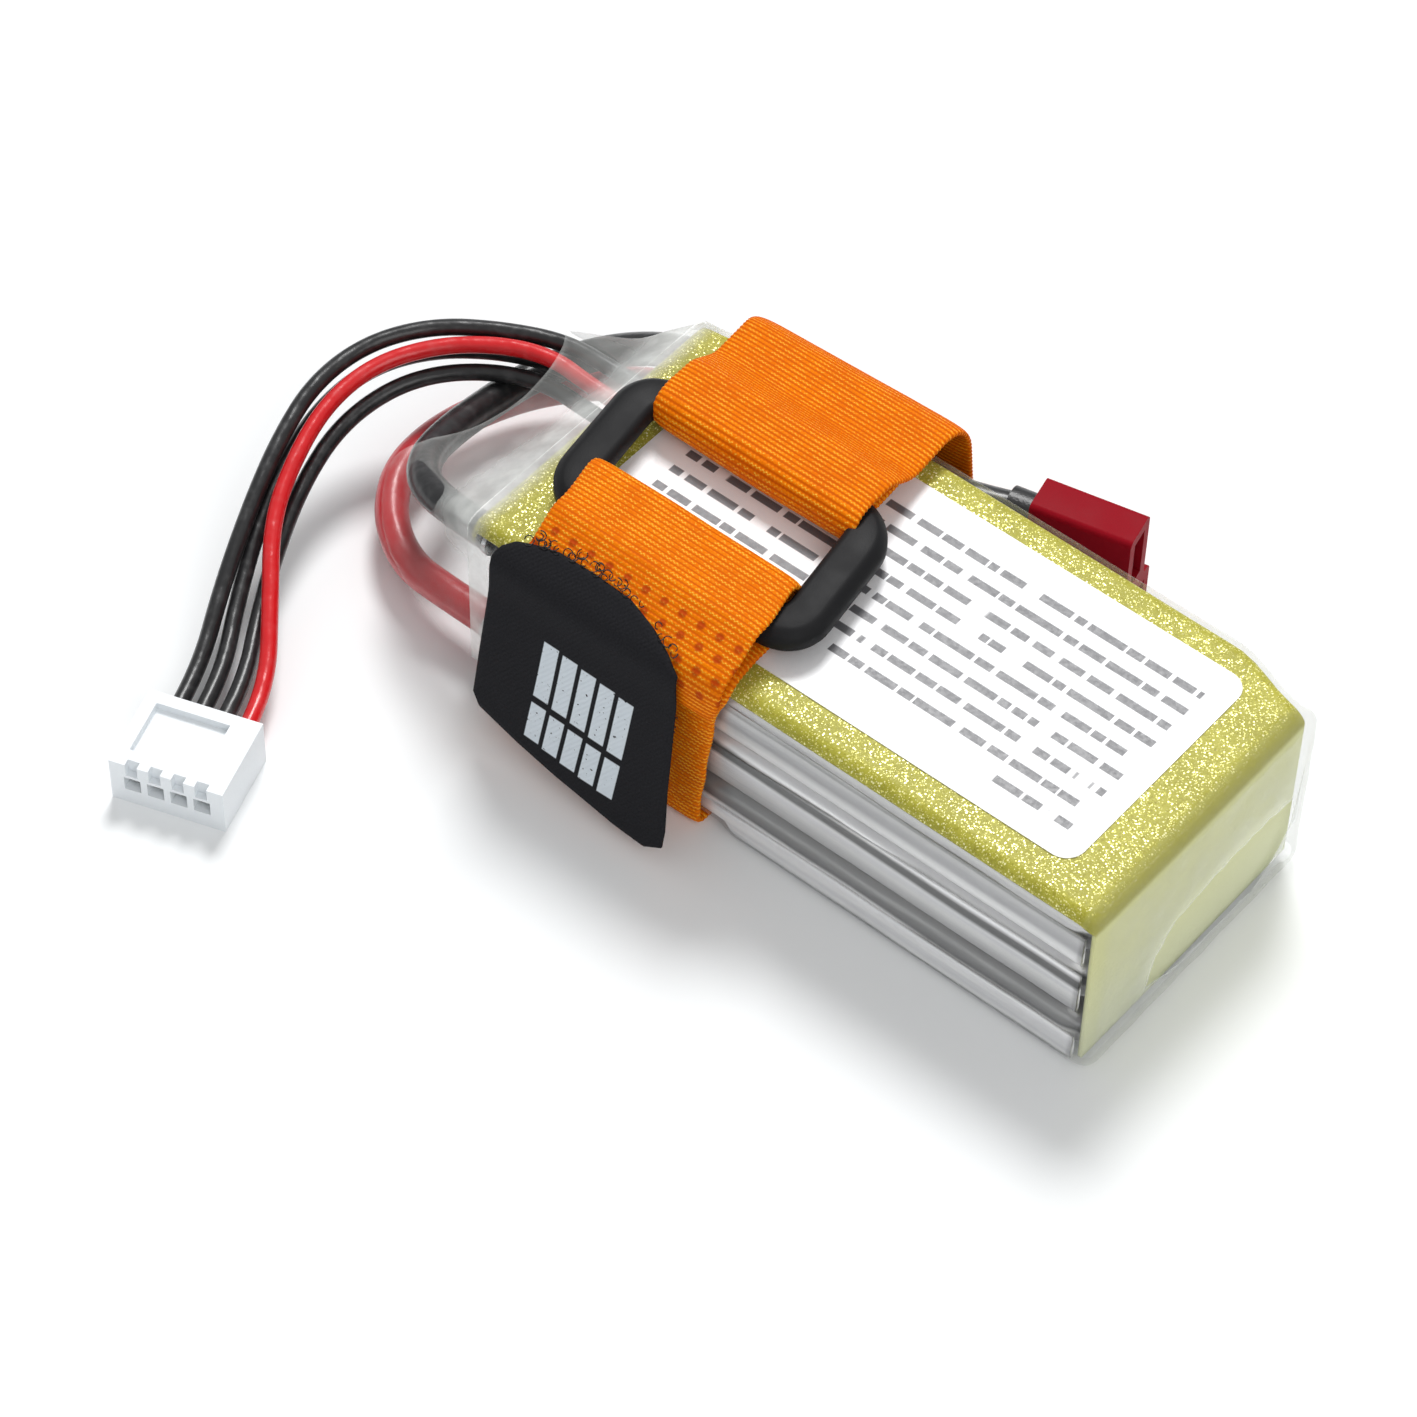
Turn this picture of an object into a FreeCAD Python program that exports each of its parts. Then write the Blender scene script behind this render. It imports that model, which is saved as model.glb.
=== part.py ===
"""Three-cell pouch battery pack with a strap, a T plug and a balance plug, in millimetres.

+X runs from the lead end to the closed front end, +Y is the far side with the T plug, +Z is up.
Lengths are worked out about the pack's own middle on the floor. "ahead" and "aside" then move
every sub-part, so that the model's origin is the middle of the pack, strap and sleeve together.
"""
import FreeCAD, Part
import Sketcher
import math
import os

V = FreeCAD.Vector
NIL = 0.0001  # stands for zero where a sketch constraint may not be zero

# ---------------------------------------------------------------- driving dimensions
DIMENSIONS = (
    ("ahead", 5.65, "pack middle, ahead of the origin"),
    ("aside", -0.21, "pack middle, to the +Y side of the origin"),
    ("pack_length", 77.4, "sleeve, end to end"),
    ("pack_width", 34.8, "sleeve"),
    ("pack_height", 22.9, "sleeve"),
    ("film", 0.25, "shrink film"),
    ("edge_round", 1.4, "sleeve's long edges"),
    ("cell_length", 70.8, "pouch without its terrace"),
    ("cell_width", 34.0, "pouch"),
    ("cell_thick", 7.1, "pouch"),
    ("cell_front", 37.4, "pouch front edge, from the pack middle"),
    ("cell_floor", 0.3, "underside of the lowest pouch"),
    ("pouch_round", 1.5, "pouch edges"),
    ("terrace_length", 3.0, "sealed strip that the tabs leave by"),
    ("terrace_thick", 0.4, "sealed strip"),
    ("tape_thick", 0.2, "double sided tape between pouches"),
    ("dent_edge", -5.4, "front edge of the shallow seat that the strap presses"),
    ("dent_deep", 1.25, "depth of that seat"),
    ("tab_wide", 8.0, "cell tabs"),
    ("tab_thick", 0.3, "cell tabs"),
    ("tab_length", 2.2, "cell tabs"),
    ("tab_apart", 18.0, "between the two tabs of a cell"),
    ("board_back", -37.9, "rear face of the balance board"),
    ("board_thick", 1.0, "balance board"),
    ("board_wide", 30.0, "balance board"),
    ("board_tall", 16.8, "balance board"),
    ("board_low", 2.8, "lower edge of the balance board"),
    ("solder_thick", 0.5, "solder joints"),
    ("solder_rim", 0.15, "solder round a wire"),
    ("insulation_wide", 28.0, "tape between the board and the cell tabs"),
    ("insulation_tall", 15.0, "that tape"),
    ("insulation_low", 4.0, "that tape's lower edge"),
    ("insulation_thick", 0.12, "that tape"),
    ("foam_wide", 31.0, "foam behind the front end"),
    ("foam_tall", 18.5, "foam behind the front end"),
    ("foam_low", 2.0, "that foam's lower edge"),
    ("card_thick", 0.5, "glitter card"),
    ("card_wide", 33.0, "glitter card"),
    ("card_back", -38.5, "rear fold of the card"),
    ("card_front", 38.4, "front fold of the card"),
    ("card_foot", 1.2, "lower edge of the front fold"),
    ("card_lip", 1.7, "height of the short rear fold"),
    ("label_thick", 0.1, "paper label"),
    ("label_back", -32.0, "label's rear edge"),
    ("label_long", 64.2, "label"),
    ("label_wide", 28.7, "label"),
    ("label_aside", 1.45, "label middle, to +Y"),
    ("label_round", 2.2, "label corners"),
    ("slit_wide", 15.0, "slit in the sleeve's front end"),
    ("slit_tall", 4.6, "slit in the sleeve's front end"),
    ("slit_side", -2.5, "that slit's edge"),
    ("slit_low", 4.1, "that slit's lower edge"),
    ("tail_length", 11.3, "film beyond the pouches"),
    ("lead_wide", 3.6, "main lead"),
    ("wire_wide", 1.8, "balance wire"),
    ("plug_x", 0.4, "T plug's rear face, middle"),
    ("plug_y", 24.1, "T plug's rear face, middle"),
    ("plug_low", 4.0, "T plug's lower side"),
    ("plug_yaw", 12.7, "T plug, turned away from the pack"),
    ("plug_long", 11.1, "T plug"),
    ("plug_tall", 16.3, "T plug"),
    ("plug_thick", 4.7, "T plug's narrow half"),
    ("plug_step", 1.6, "extra thickness of the lower half"),
    ("plug_wall", 1.15, "T plug"),
    ("plug_deep", 8.6, "T plug's sockets"),
    ("plug_round", 0.7, "T plug's long edges"),
    ("lower_half", 7.34, "height of the T plug's thicker half"),
    ("upright_middle", 11.98, "upright socket's middle, above the plug's lower side"),
    ("upright_tall", 6.2, "upright socket"),
    ("flat_middle", 4.24, "flat socket's middle, above the plug's lower side"),
    ("flat_tall", 3.59, "flat socket"),
    ("blade_gap", 0.6, "contacts end short of the plug's face"),
    ("upright_blade", 5.2, "contact in the upright socket"),
    ("flat_blade", 3.2, "contact in the flat socket"),
    ("blade_thick", 0.9, "T plug contacts"),
    ("black_high", 12.2, "black lead above the plug's lower side"),
    ("red_high", 4.3, "red lead above the plug's lower side"),
    ("boot_wide", 4.8, "heat shrink boots"),
    ("boot_long", 3.0, "heat shrink boots"),
    ("housing_x", -52.3, "balance housing's rear face, middle"),
    ("housing_y", -41.6, "balance housing's rear face, middle"),
    ("housing_yaw", 19.0, "balance housing"),
    ("housing_wide", 12.3, "balance housing"),
    ("housing_long", 9.8, "balance housing"),
    ("housing_tall", 5.75, "balance housing"),
    ("pitch", 2.5, "balance contacts"),
    ("slot_wide", 1.8, "balance housing's sockets"),
    ("slot_deep", 6.5, "balance housing's sockets"),
    ("contact_wide", 1.3, "balance contacts"),
    ("window_wide", 8.0, "recess in the balance housing's top"),
    ("window_long", 6.4, "that recess"),
    ("window_side", -0.8, "that recess's middle, off the housing's middle"),
    ("window_back", 4.6, "that recess's middle, from the housing's rear"),
    ("window_deep", 0.9, "that recess"),
    ("notch_wide", 1.3, "notches in the housing's mating end"),
    ("notch_long", 0.8, "those notches"),
    ("notch_deep", 1.6, "those notches"),
    ("wire_high", 2.9, "balance wires above the floor"),
    ("strap_wide", 25.4, "webbing"),
    ("strap_thick", 1.1, "webbing"),
    ("strap_x", -19.6, "webbing middle"),
    ("ring_long", 35.4, "strap ring"),
    ("ring_wide", 20.4, "strap ring"),
    ("ring_y", -2.1, "strap ring middle"),
    ("ring_low", 24.4, "strap ring's underside"),
    ("ring_thick", 2.4, "strap ring"),
    ("ring_bar", 3.8, "bars that carry the webbing"),
    ("ring_end", 4.3, "end pieces of the ring"),
    ("ring_round", 5.5, "ring's outer corners"),
    ("ring_corner", 1.5, "ring's inner corners"),
    ("ring_rim", 1.1, "rounding where the webbing bends over the bars"),
    ("ring_soft", 0.8, "rounding on top of the end pieces"),
    ("hook_wide", 25.0, "hook tab"),
    ("hook_y", -21.0, "hook tab's bending line"),
    ("hook_z", 20.0, "hook tab's bending line"),
    ("hook_lean", 12.0, "hook tab, leaning away from the pack"),
    ("hook_long", 19.4, "hook tab"),
    ("backing_thick", 0.5, "hook tab's backing"),
    ("pile_thick", 0.6, "hook field on the inner side"),
    ("pile_margin", 0.6, "backing that shows round the hook field"),
    ("root_thick", 0.9, "hook tab where it is welded over the webbing"),
)


class Size:
    """A length with its number and the spreadsheet formula that gives it."""

    def __init__(self, value, text):
        self.value = value
        self.text = text

    def __add__(self, other):
        other = size(other)
        return Size(self.value + other.value, f"({self.text} + {other.text})")

    def __sub__(self, other):
        other = size(other)
        return Size(self.value - other.value, f"({self.text} - {other.text})")

    def __mul__(self, factor):
        return Size(self.value * factor, f"({self.text} * {factor})")

    def __truediv__(self, factor):
        return Size(self.value / factor, f"({self.text} / {factor})")

    def __neg__(self):
        return Size(-self.value, f"(0 - {self.text})")


def size(number):
    """A Size as it is, or a plain number as a Size."""
    if isinstance(number, Size):
        return number
    return Size(float(number), f"({float(number)})")


class Sizes:
    """The spreadsheet's cells by name."""


doc = FreeCAD.newDocument("battery_pack")
sheet = doc.addObject("Spreadsheet::Sheet", "Sizes")
S = Sizes()
for row, (alias, value, note) in enumerate(DIMENSIONS, start=1):
    sheet.set(f"A{row}", alias)
    sheet.set(f"B{row}", str(value))
    sheet.set(f"C{row}", note)
    sheet.setAlias(f"B{row}", alias)
    setattr(S, alias, Size(value, f"Sizes.{alias}"))
doc.recompute()

nodes = {}


# ---------------------------------------------------------------- helpers
def keep(node, label):
    """Registers a finished sub-part under the name of its file."""
    node.Label = label
    nodes[label] = node
    return node


def bind(item, prop, length):
    """Ties a property to the spreadsheet."""
    item.setExpression(prop, size(length).text)


def place(item, x=0, y=0, z=0, yaw=None, lean=None):
    """Puts a sub-part in the model: its own place in the pack, moved by ahead and aside."""
    if yaw is not None:
        item.Placement = FreeCAD.Placement(V(), FreeCAD.Rotation(V(0, 0, 1), yaw.value))
    if lean is not None:
        item.Placement = FreeCAD.Placement(V(), FreeCAD.Rotation(V(1, 0, 0), -lean.value))
    bind(item, "Placement.Base.x", size(x) + S.ahead)
    bind(item, "Placement.Base.y", size(y) + S.aside)
    bind(item, "Placement.Base.z", size(z))
    if yaw is not None:
        bind(item, "Placement.Rotation.Angle", yaw)
    if lean is not None:
        bind(item, "Placement.Rotation.Angle", -lean)
    return item


def new_body(name):
    return doc.addObject("PartDesign::Body", name)


def new_sketch(body, name, plane, height=0):
    """A sketch on one of the body's own origin planes, moved along its normal by height."""
    sketch = body.newObject("Sketcher::SketchObject", name)
    support = [item for item in body.Origin.OriginFeatures if item.Role == plane][0]
    sketch.AttachmentSupport = (support, [""])
    sketch.MapMode = "FlatFace"
    if not isinstance(height, Size) and height == 0:
        return sketch
    sketch.AttachmentOffset = FreeCAD.Placement(V(0, 0, size(height).value), FreeCAD.Rotation())
    bind(sketch, "AttachmentOffset.Base.z", height)
    return sketch


def draw(sketch, corners):
    """A closed outline of straight lines, each corner tied to the spreadsheet."""
    corners = [(size(x), size(y)) for x, y in corners]
    count = len(corners)
    for i in range(count):
        x0, y0 = corners[i]
        x1, y1 = corners[(i + 1) % count]
        sketch.addGeometry(Part.LineSegment(V(x0.value, y0.value, 0), V(x1.value, y1.value, 0)))
    first = sketch.GeometryCount - count
    for i in range(count):
        after = first + (i + 1) % count
        sketch.addConstraint(Sketcher.Constraint("Coincident", first + i, 2, after, 1))
    for i, (x, y) in enumerate(corners):
        for kind, length in (("DistanceX", x), ("DistanceY", y)):
            index = sketch.addConstraint(
                Sketcher.Constraint(kind, -1, 1, first + i, 1, length.value)
            )
            name = f"{kind[-1].lower()}{first + i}"
            sketch.renameConstraint(index, name)
            bind(sketch, f"Constraints.{name}", length)
    return sketch


def rectangle(x, y, wide, tall):
    """The four corners of a rectangle about its middle."""
    x, y, wide, tall = size(x), size(y), size(wide), size(tall)
    return [
        (x - wide / 2, y - tall / 2),
        (x + wide / 2, y - tall / 2),
        (x + wide / 2, y + tall / 2),
        (x - wide / 2, y + tall / 2),
    ]


def pad(body, name, sketch, length, both_ways=False):
    feature = body.newObject("PartDesign::Pad", name)
    feature.Profile = sketch
    bind(feature, "Length", length)
    if both_ways:
        feature.SideType = "Symmetric"
    doc.recompute()
    return feature


def pocket(body, name, sketch, depth, both_ways=False, reverse=False):
    """Cuts a sketch out of the body and makes sure that something was cut."""
    before = body.Shape.Volume
    feature = body.newObject("PartDesign::Pocket", name)
    feature.Profile = sketch
    bind(feature, "Length", depth)
    feature.Reversed = reverse
    if both_ways:
        feature.SideType = "Symmetric"
    doc.recompute()
    if body.Shape.Volume > before - 1e-3:
        raise RuntimeError(f"{name} cuts nothing")
    return feature


def fillet(body, name, radius, wanted):
    """Rounds the edges of the body's last feature for which wanted(edge) is true."""
    base = body.Tip
    edges = [f"Edge{i}" for i, edge in enumerate(base.Shape.Edges, start=1) if wanted(edge)]
    feature = body.newObject("PartDesign::Fillet", name)
    feature.Base = (base, edges)
    bind(feature, "Radius", radius)
    doc.recompute()
    return feature


def along(axis):
    """A test for straight edges that run along an axis."""

    def test(edge):
        start, end = edge.Vertexes[0].Point, edge.Vertexes[-1].Point
        run = end - start
        return run.Length > 0.01 and abs(run.normalize().dot(axis)) > 0.999

    return test


def block(name, x, y, z, long, wide, tall):
    """A box whose x, y and z give its low corner in the pack."""
    item = doc.addObject("Part::Box", name)
    bind(item, "Length", long)
    bind(item, "Width", wide)
    bind(item, "Height", tall)
    return place(item, x, y, z)


def group(name, items):
    compound = doc.addObject("Part::Compound", name)
    compound.Links = items
    return compound


def bent_path(points, radii=None):
    """Straight runs joined by tangent arcs. Without radii, each is as large as its runs allow."""
    points = [V(*point) for point in points]
    edges = []
    used = []
    at = points[0]
    for i in range(1, len(points) - 1):
        back = points[i - 1] - points[i]
        on = points[i + 1] - points[i]
        short = min(back.Length, on.Length)
        back.normalize()
        on.normalize()
        half_turn = (math.pi - back.getAngle(on)) / 2
        radius = 0.45 * short / math.tan(half_turn) if radii is None else radii[i - 1]
        reach = radius * math.tan(half_turn)
        used.append(radius)
        start = points[i] + back * reach
        end = points[i] + on * reach
        centre = points[i] + (back + on).normalize() * (radius / math.cos(half_turn))
        middle = centre + (points[i] - centre).normalize() * radius
        if (start - at).Length > 1e-6:
            edges.append(Part.LineSegment(at, start).toShape())
        edges.append(Part.Arc(start, middle, end).toShape())
        at = end
    edges.append(Part.LineSegment(at, points[-1]).toShape())
    return Part.Wire(edges), used


def tube(label, points, diameter):
    """A round cord along a bent path, as a solid of its own."""
    path, radii = bent_path(points)
    start = V(*points[0])
    circle = Part.Circle(start, V(*points[1]) - start, diameter.value / 2)
    shape = path.makePipeShell([Part.Wire(circle.toShape())], True, False)
    turns = " ".join(f"{radius:.0f}" for radius in radii)
    share = shape.Volume / (math.pi * diameter.value**2 / 4 * path.Length)
    print(f"{label}: {path.Length:.1f} mm, radii {turns}, volume against length {share:.4f}")
    item = doc.addObject("Part::Feature", label)
    item.Shape = shape
    place(item)
    return keep(item, label)


def band(label, points, radii, thick, wide, middle):
    """Flat webbing along a bent path of (y, z) points, wide along X about its middle."""
    low = middle.value - wide.value / 2
    path, _ = bent_path([(low, y, z) for y, z in points], radii)
    run = V(0, points[1][0] - points[0][0], points[1][1] - points[0][1]).normalize()
    side = V(0, -run.z, run.y) * (thick.value / 2)
    start = V(low, *points[0])
    across = V(wide.value, 0, 0)
    corners = [start - side, start + side, start + side + across, start - side + across]
    section = Part.makePolygon(corners + corners[:1])
    item = doc.addObject("Part::Feature", label)
    item.Shape = path.makePipeShell([section], True, False)
    place(item)
    return keep(item, label)


# ---------------------------------------------------------------- pouches and what joins them
CELLS = ("bottom", "middle", "top")


def cell_level(index):
    """Underside of a pouch in the stack."""
    return S.cell_floor + (S.cell_thick + S.tape_thick) * float(index)


def make_cell(index):
    """A pouch with rounded edges and the thin terrace at its rear."""
    body = new_body(f"cell_{CELLS[index]}")
    outline = new_sketch(body, f"PouchOutline{index}", "XY_Plane")
    draw(outline, rectangle(S.cell_front - S.cell_length / 2, 0, S.cell_length, S.cell_width))
    pad(body, f"Pouch{index}", outline, S.cell_thick)
    fillet(body, f"PouchSides{index}", S.pouch_round, along(V(1, 0, 0)))
    if index == 0:
        seat = new_sketch(body, "StrapSeat", "XY_Plane")
        rear = S.cell_front - S.cell_length - 1
        edge = S.dent_edge + S.film + 0.05
        half = S.cell_width / 2 + 1
        draw(seat, [(rear, -half), (edge, -half), (edge, half), (rear, half)])
        pocket(body, "StrapSeatCut", seat, S.dent_deep, reverse=True)
    terrace = new_sketch(body, f"TerraceOutline{index}", "XY_Plane", S.cell_thick / 2)
    middle = S.cell_front - S.cell_length - S.terrace_length / 2 + 0.5
    draw(terrace, rectangle(middle, 0, S.terrace_length + 1, S.cell_width - 4))
    pad(body, f"Terrace{index}", terrace, S.terrace_thick)
    place(body, z=cell_level(index))
    return keep(body, f"cell_{CELLS[index]}")


def make_cell_tabs(index):
    """The two metal tabs that lie on a pouch's terrace."""
    level = cell_level(index) + S.cell_thick / 2 + S.terrace_thick
    front = S.cell_front - S.cell_length - 0.1
    tabs = []
    for side in (-1, 1):
        low = S.tab_apart * (side / 2) - S.tab_wide / 2
        tabs.append(
            block(
                f"Tab{index}{side + 1}",
                front - S.tab_length, low, level,
                S.tab_length, S.tab_wide, S.tab_thick,
            )
        )
    return keep(group(f"TabPair{index}", tabs), f"cell_tabs_{CELLS[index]}")


def make_tape(index, label):
    """The double sided tape above a pouch."""
    rear = S.cell_front - S.cell_length + 4
    item = block(
        label,
        rear, -(S.cell_width / 2 - 4), cell_level(index) + S.cell_thick,
        S.cell_length - 8, S.cell_width - 8, S.tape_thick,
    )
    return keep(item, label)


def make_front_pad():
    """Foam between the pouches' front edges and the card."""
    deep = S.card_front - S.card_thick - S.cell_front
    item = block(
        "front_foam_pad",
        S.cell_front, -(S.foam_wide / 2), S.foam_low,
        deep, S.foam_wide, S.foam_tall,
    )
    return keep(item, "front_foam_pad")


def make_insulation():
    """Tape that keeps the cell tabs off the board."""
    front = S.board_back + S.board_thick
    item = block(
        "insulation_tape",
        front, -(S.insulation_wide / 2), S.insulation_low,
        S.insulation_thick, S.insulation_wide, S.insulation_tall,
    )
    return keep(item, "insulation_tape")


# ---------------------------------------------------------------- board, solder and leads
# Each cord's route is a list of points about the pack middle. A wire's first point lies on its
# solder joint and its last on the plug that it ends in.
BLACK_LEAD = [
    (-38.4, -13.9, 17.6), (-44.2, -13.9, 17.6), (-49.6, -12.0, 15.9), (-53.3, -7.6, 13.6),
    (-55.1, -1.8, 11.3), (-55.9, 4.6, 9.4), (-55.6, 11.0, 8.6), (-52.8, 16.4, 9.4),
    (-47.6, 19.5, 11.8), (-41.4, 20.1, 14.8), (-33.6, 20.0, 16.3), (-21.6, 20.1, 16.5),
    (-12.2, 20.4, 16.4), (-6.5, 21.9, 16.0),
]
RED_LEAD = [
    (-38.4, -14.6, 5.2), (-44.4, -14.6, 5.2), (-50.4, -14.0, 4.6), (-56.0, -10.6, 4.8),
    (-59.6, -5.2, 4.9), (-60.4, 1.2, 4.4), (-59.2, 7.4, 4.1), (-56.4, 13.2, 4.2),
    (-51.8, 17.6, 5.0), (-45.6, 20.0, 7.2), (-38.8, 20.1, 10.0), (-30.6, 20.0, 11.8),
    (-20.6, 20.1, 12.1), (-12.6, 20.3, 11.4), (-6.7, 21.6, 9.8),
]
BALANCE_WIRES = [
    [
        (-38.4, 13.2, 14.6), (-45.4, 13.2, 14.6), (-52.2, 13.3, 14.3), (-58.6, 10.4, 14.2),
        (-64.6, 6.4, 13.9), (-68.6, 0.5, 13.3), (-69.6, -6.6, 12.4), (-67.9, -13.8, 11.0),
        (-65.4, -20.8, 8.9), (-62.2, -28.8, 5.6),
    ],
    [
        (-38.4, 11.2, 12.8), (-45.4, 11.2, 12.8), (-52.2, 11.5, 12.6), (-58.4, 9.0, 12.3),
        (-63.8, 5.0, 11.9), (-67.3, -0.4, 11.3), (-68.2, -7.0, 10.3), (-66.8, -14.2, 8.9),
        (-64.3, -21.0, 6.9), (-60.6, -28.4, 4.2),
    ],
    [
        (-38.4, 8.8, 12.2), (-45.2, 8.8, 12.2), (-51.6, 9.1, 12.1), (-57.2, 6.8, 11.8),
        (-61.8, 3.1, 11.2), (-64.6, -1.6, 10.3), (-65.6, -7.8, 9.0), (-64.2, -14.6, 7.4),
        (-61.7, -21.0, 5.5), (-58.1, -28.0, 3.5),
    ],
    [
        (-38.4, 9.6, 15.0), (-45.4, 9.6, 15.0), (-51.8, 10.4, 14.8), (-57.6, 8.2, 14.5),
        (-62.8, 4.2, 13.8), (-66.3, -1.2, 12.9), (-67.0, -7.6, 11.8), (-65.3, -14.4, 10.4),
        (-62.5, -21.0, 8.4), (-56.9, -27.4, 5.8),
    ],
]


def turned(x, y, yaw):
    """A horizontal offset turned about Z, in degrees."""
    angle = math.radians(yaw)
    return x * math.cos(angle) - y * math.sin(angle), x * math.sin(angle) + y * math.cos(angle)


def plug_point(back, high):
    """A point behind the T plug's rear face, on the axis of the lead at that height."""
    x, y = turned(-back, 0, S.plug_yaw.value)
    return S.plug_x.value + x, S.plug_y.value + y, S.plug_low.value + high.value


def housing_point(index, back):
    """A point behind the balance housing's rear face, on the axis of one of its wires."""
    x, y = turned((index - 1.5) * S.pitch.value, back, S.housing_yaw.value)
    return S.housing_x.value + x, S.housing_y.value + y, S.wire_high.value


def make_board():
    item = block(
        "balance_board",
        S.board_back, -(S.board_wide / 2), S.board_low,
        S.board_thick, S.board_wide, S.board_tall,
    )
    return keep(item, "balance_board")


def make_solder(ends):
    """One joint for each lead and wire, on the board's rear face."""
    joints = []
    for number, (point, lead) in enumerate(ends):
        item = doc.addObject("Part::Cylinder", f"Solder{number}")
        bind(item, "Radius", lead / 2 + S.solder_rim)
        bind(item, "Height", S.solder_thick)
        item.Placement = FreeCAD.Placement(V(), FreeCAD.Rotation(V(0, 1, 0), 90))
        place(item, S.board_back - S.solder_thick, point[1], point[2])
        joints.append(item)
    return keep(group("SolderGroup", joints), "solder_joints")


def make_leads():
    boot = S.boot_long.value
    tube("main_lead_black", BLACK_LEAD + [plug_point(boot, S.black_high)], S.lead_wide)
    tube("main_lead_red", RED_LEAD + [plug_point(boot, S.red_high)], S.lead_wide)
    for index, route in enumerate(BALANCE_WIRES):
        points = route + [housing_point(index, 6), housing_point(index, 0)]
        tube(f"balance_wire_{index + 1}", points, S.wire_wide)


# ---------------------------------------------------------------- plugs
def make_plug_housing():
    """A T plug on its edge: a thin upper half, a thicker lower half and two sockets."""
    body = new_body("plug_housing")
    half = S.plug_thick / 2
    low = S.lower_half
    outline = new_sketch(body, "PlugOutline", "YZ_Plane")
    draw(outline, [
        (-half, NIL), (half + S.plug_step, NIL), (half + S.plug_step, low),
        (half, low), (half, S.plug_tall), (-half, S.plug_tall),
    ])
    pad(body, "PlugBlock", outline, S.plug_long)
    fillet(body, "PlugCorners", S.plug_round, along(V(1, 0, 0)))
    upright = new_sketch(body, "UprightSocket", "YZ_Plane", S.plug_long)
    slot = S.plug_thick - S.plug_wall * 2
    draw(upright, rectangle(NIL, S.upright_middle, slot, S.upright_tall))
    pocket(body, "UprightSocketCut", upright, S.plug_deep)
    flat = new_sketch(body, "FlatSocket", "YZ_Plane", S.plug_long)
    wide = S.plug_thick + S.plug_step - S.plug_wall * 2
    draw(flat, rectangle(S.plug_step / 2, S.flat_middle, wide, S.flat_tall))
    pocket(body, "FlatSocketCut", flat, S.plug_deep)
    place(body, S.plug_x, S.plug_y, S.plug_low, yaw=S.plug_yaw)
    return keep(body, "plug_housing")


def make_plug_contact(label, y, z, wide, tall):
    """A blade standing on the floor of its socket."""
    body = new_body(label)
    outline = new_sketch(body, f"{label}_outline", "YZ_Plane", S.plug_long - S.plug_deep)
    draw(outline, rectangle(y, z, wide, tall))
    pad(body, f"{label}_blade", outline, S.plug_deep - S.blade_gap)
    place(body, S.plug_x, S.plug_y, S.plug_low, yaw=S.plug_yaw)
    return keep(body, label)


def make_plug_boot(label, high):
    """Heat shrink over the soldered end of a lead."""
    body = new_body(label)
    sketch = new_sketch(body, f"{label}_circle", "YZ_Plane")
    sketch.addGeometry(Part.Circle(V(0, 0, 0), V(0, 0, 1), S.boot_wide.value / 2))
    sketch.addConstraint(Sketcher.Constraint("Coincident", 0, 3, -1, 1))
    index = sketch.addConstraint(Sketcher.Constraint("Diameter", 0, S.boot_wide.value))
    sketch.renameConstraint(index, "wide")
    bind(sketch, "Constraints.wide", S.boot_wide)
    feature = pad(body, f"{label}_pad", sketch, S.boot_long)
    feature.Reversed = True
    place(body, S.plug_x, S.plug_y, S.plug_low + high, yaw=S.plug_yaw)
    return keep(body, label)


def make_balance_housing():
    """The four-way balance housing: window in the top, sockets at the mating end."""
    body = new_body("balance_housing")
    outline = new_sketch(body, "HousingOutline", "XY_Plane")
    draw(outline, rectangle(NIL, -(S.housing_long / 2), S.housing_wide, S.housing_long))
    pad(body, "HousingBlock", outline, S.housing_tall)
    window = new_sketch(body, "WindowOutline", "XY_Plane", S.housing_tall)
    draw(window, rectangle(S.window_side, -S.window_back, S.window_wide, S.window_long))
    pocket(body, "WindowCut", window, S.window_deep)
    notch = new_sketch(body, "NotchOutline", "XY_Plane", S.housing_tall)
    for index in range(4):
        x = S.pitch * (index - 1.5)
        draw(notch, rectangle(x, S.notch_long / 2 - S.housing_long, S.notch_wide, S.notch_long))
    pocket(body, "NotchCut", notch, S.notch_deep)
    sockets = new_sketch(body, "SocketOutline", "XZ_Plane", S.housing_long)
    for index in range(4):
        draw(sockets, rectangle(S.pitch * (index - 1.5), S.wire_high, S.slot_wide, S.slot_wide))
    pocket(body, "SocketCut", sockets, S.slot_deep)
    place(body, S.housing_x, S.housing_y, 0, yaw=S.housing_yaw)
    return keep(body, "balance_housing")


def make_balance_terminals():
    """The four crimp contacts, standing in their sockets."""
    floor = S.housing_long - S.slot_deep
    bodies = []
    for index in range(4):
        name = f"terminal_{index + 1}"
        piece = new_body(name)
        sketch = new_sketch(piece, f"{name}_outline", "XZ_Plane", floor)
        draw(sketch, rectangle(
            S.pitch * (index - 1.5), S.wire_high, S.contact_wide, S.contact_wide
        ))
        pad(piece, f"{name}_pad", sketch, S.slot_deep - 1)
        place(piece, S.housing_x, S.housing_y, 0, yaw=S.housing_yaw)
        bodies.append(piece)
    return keep(group("TerminalGroup", bodies), "balance_terminals")


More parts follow.
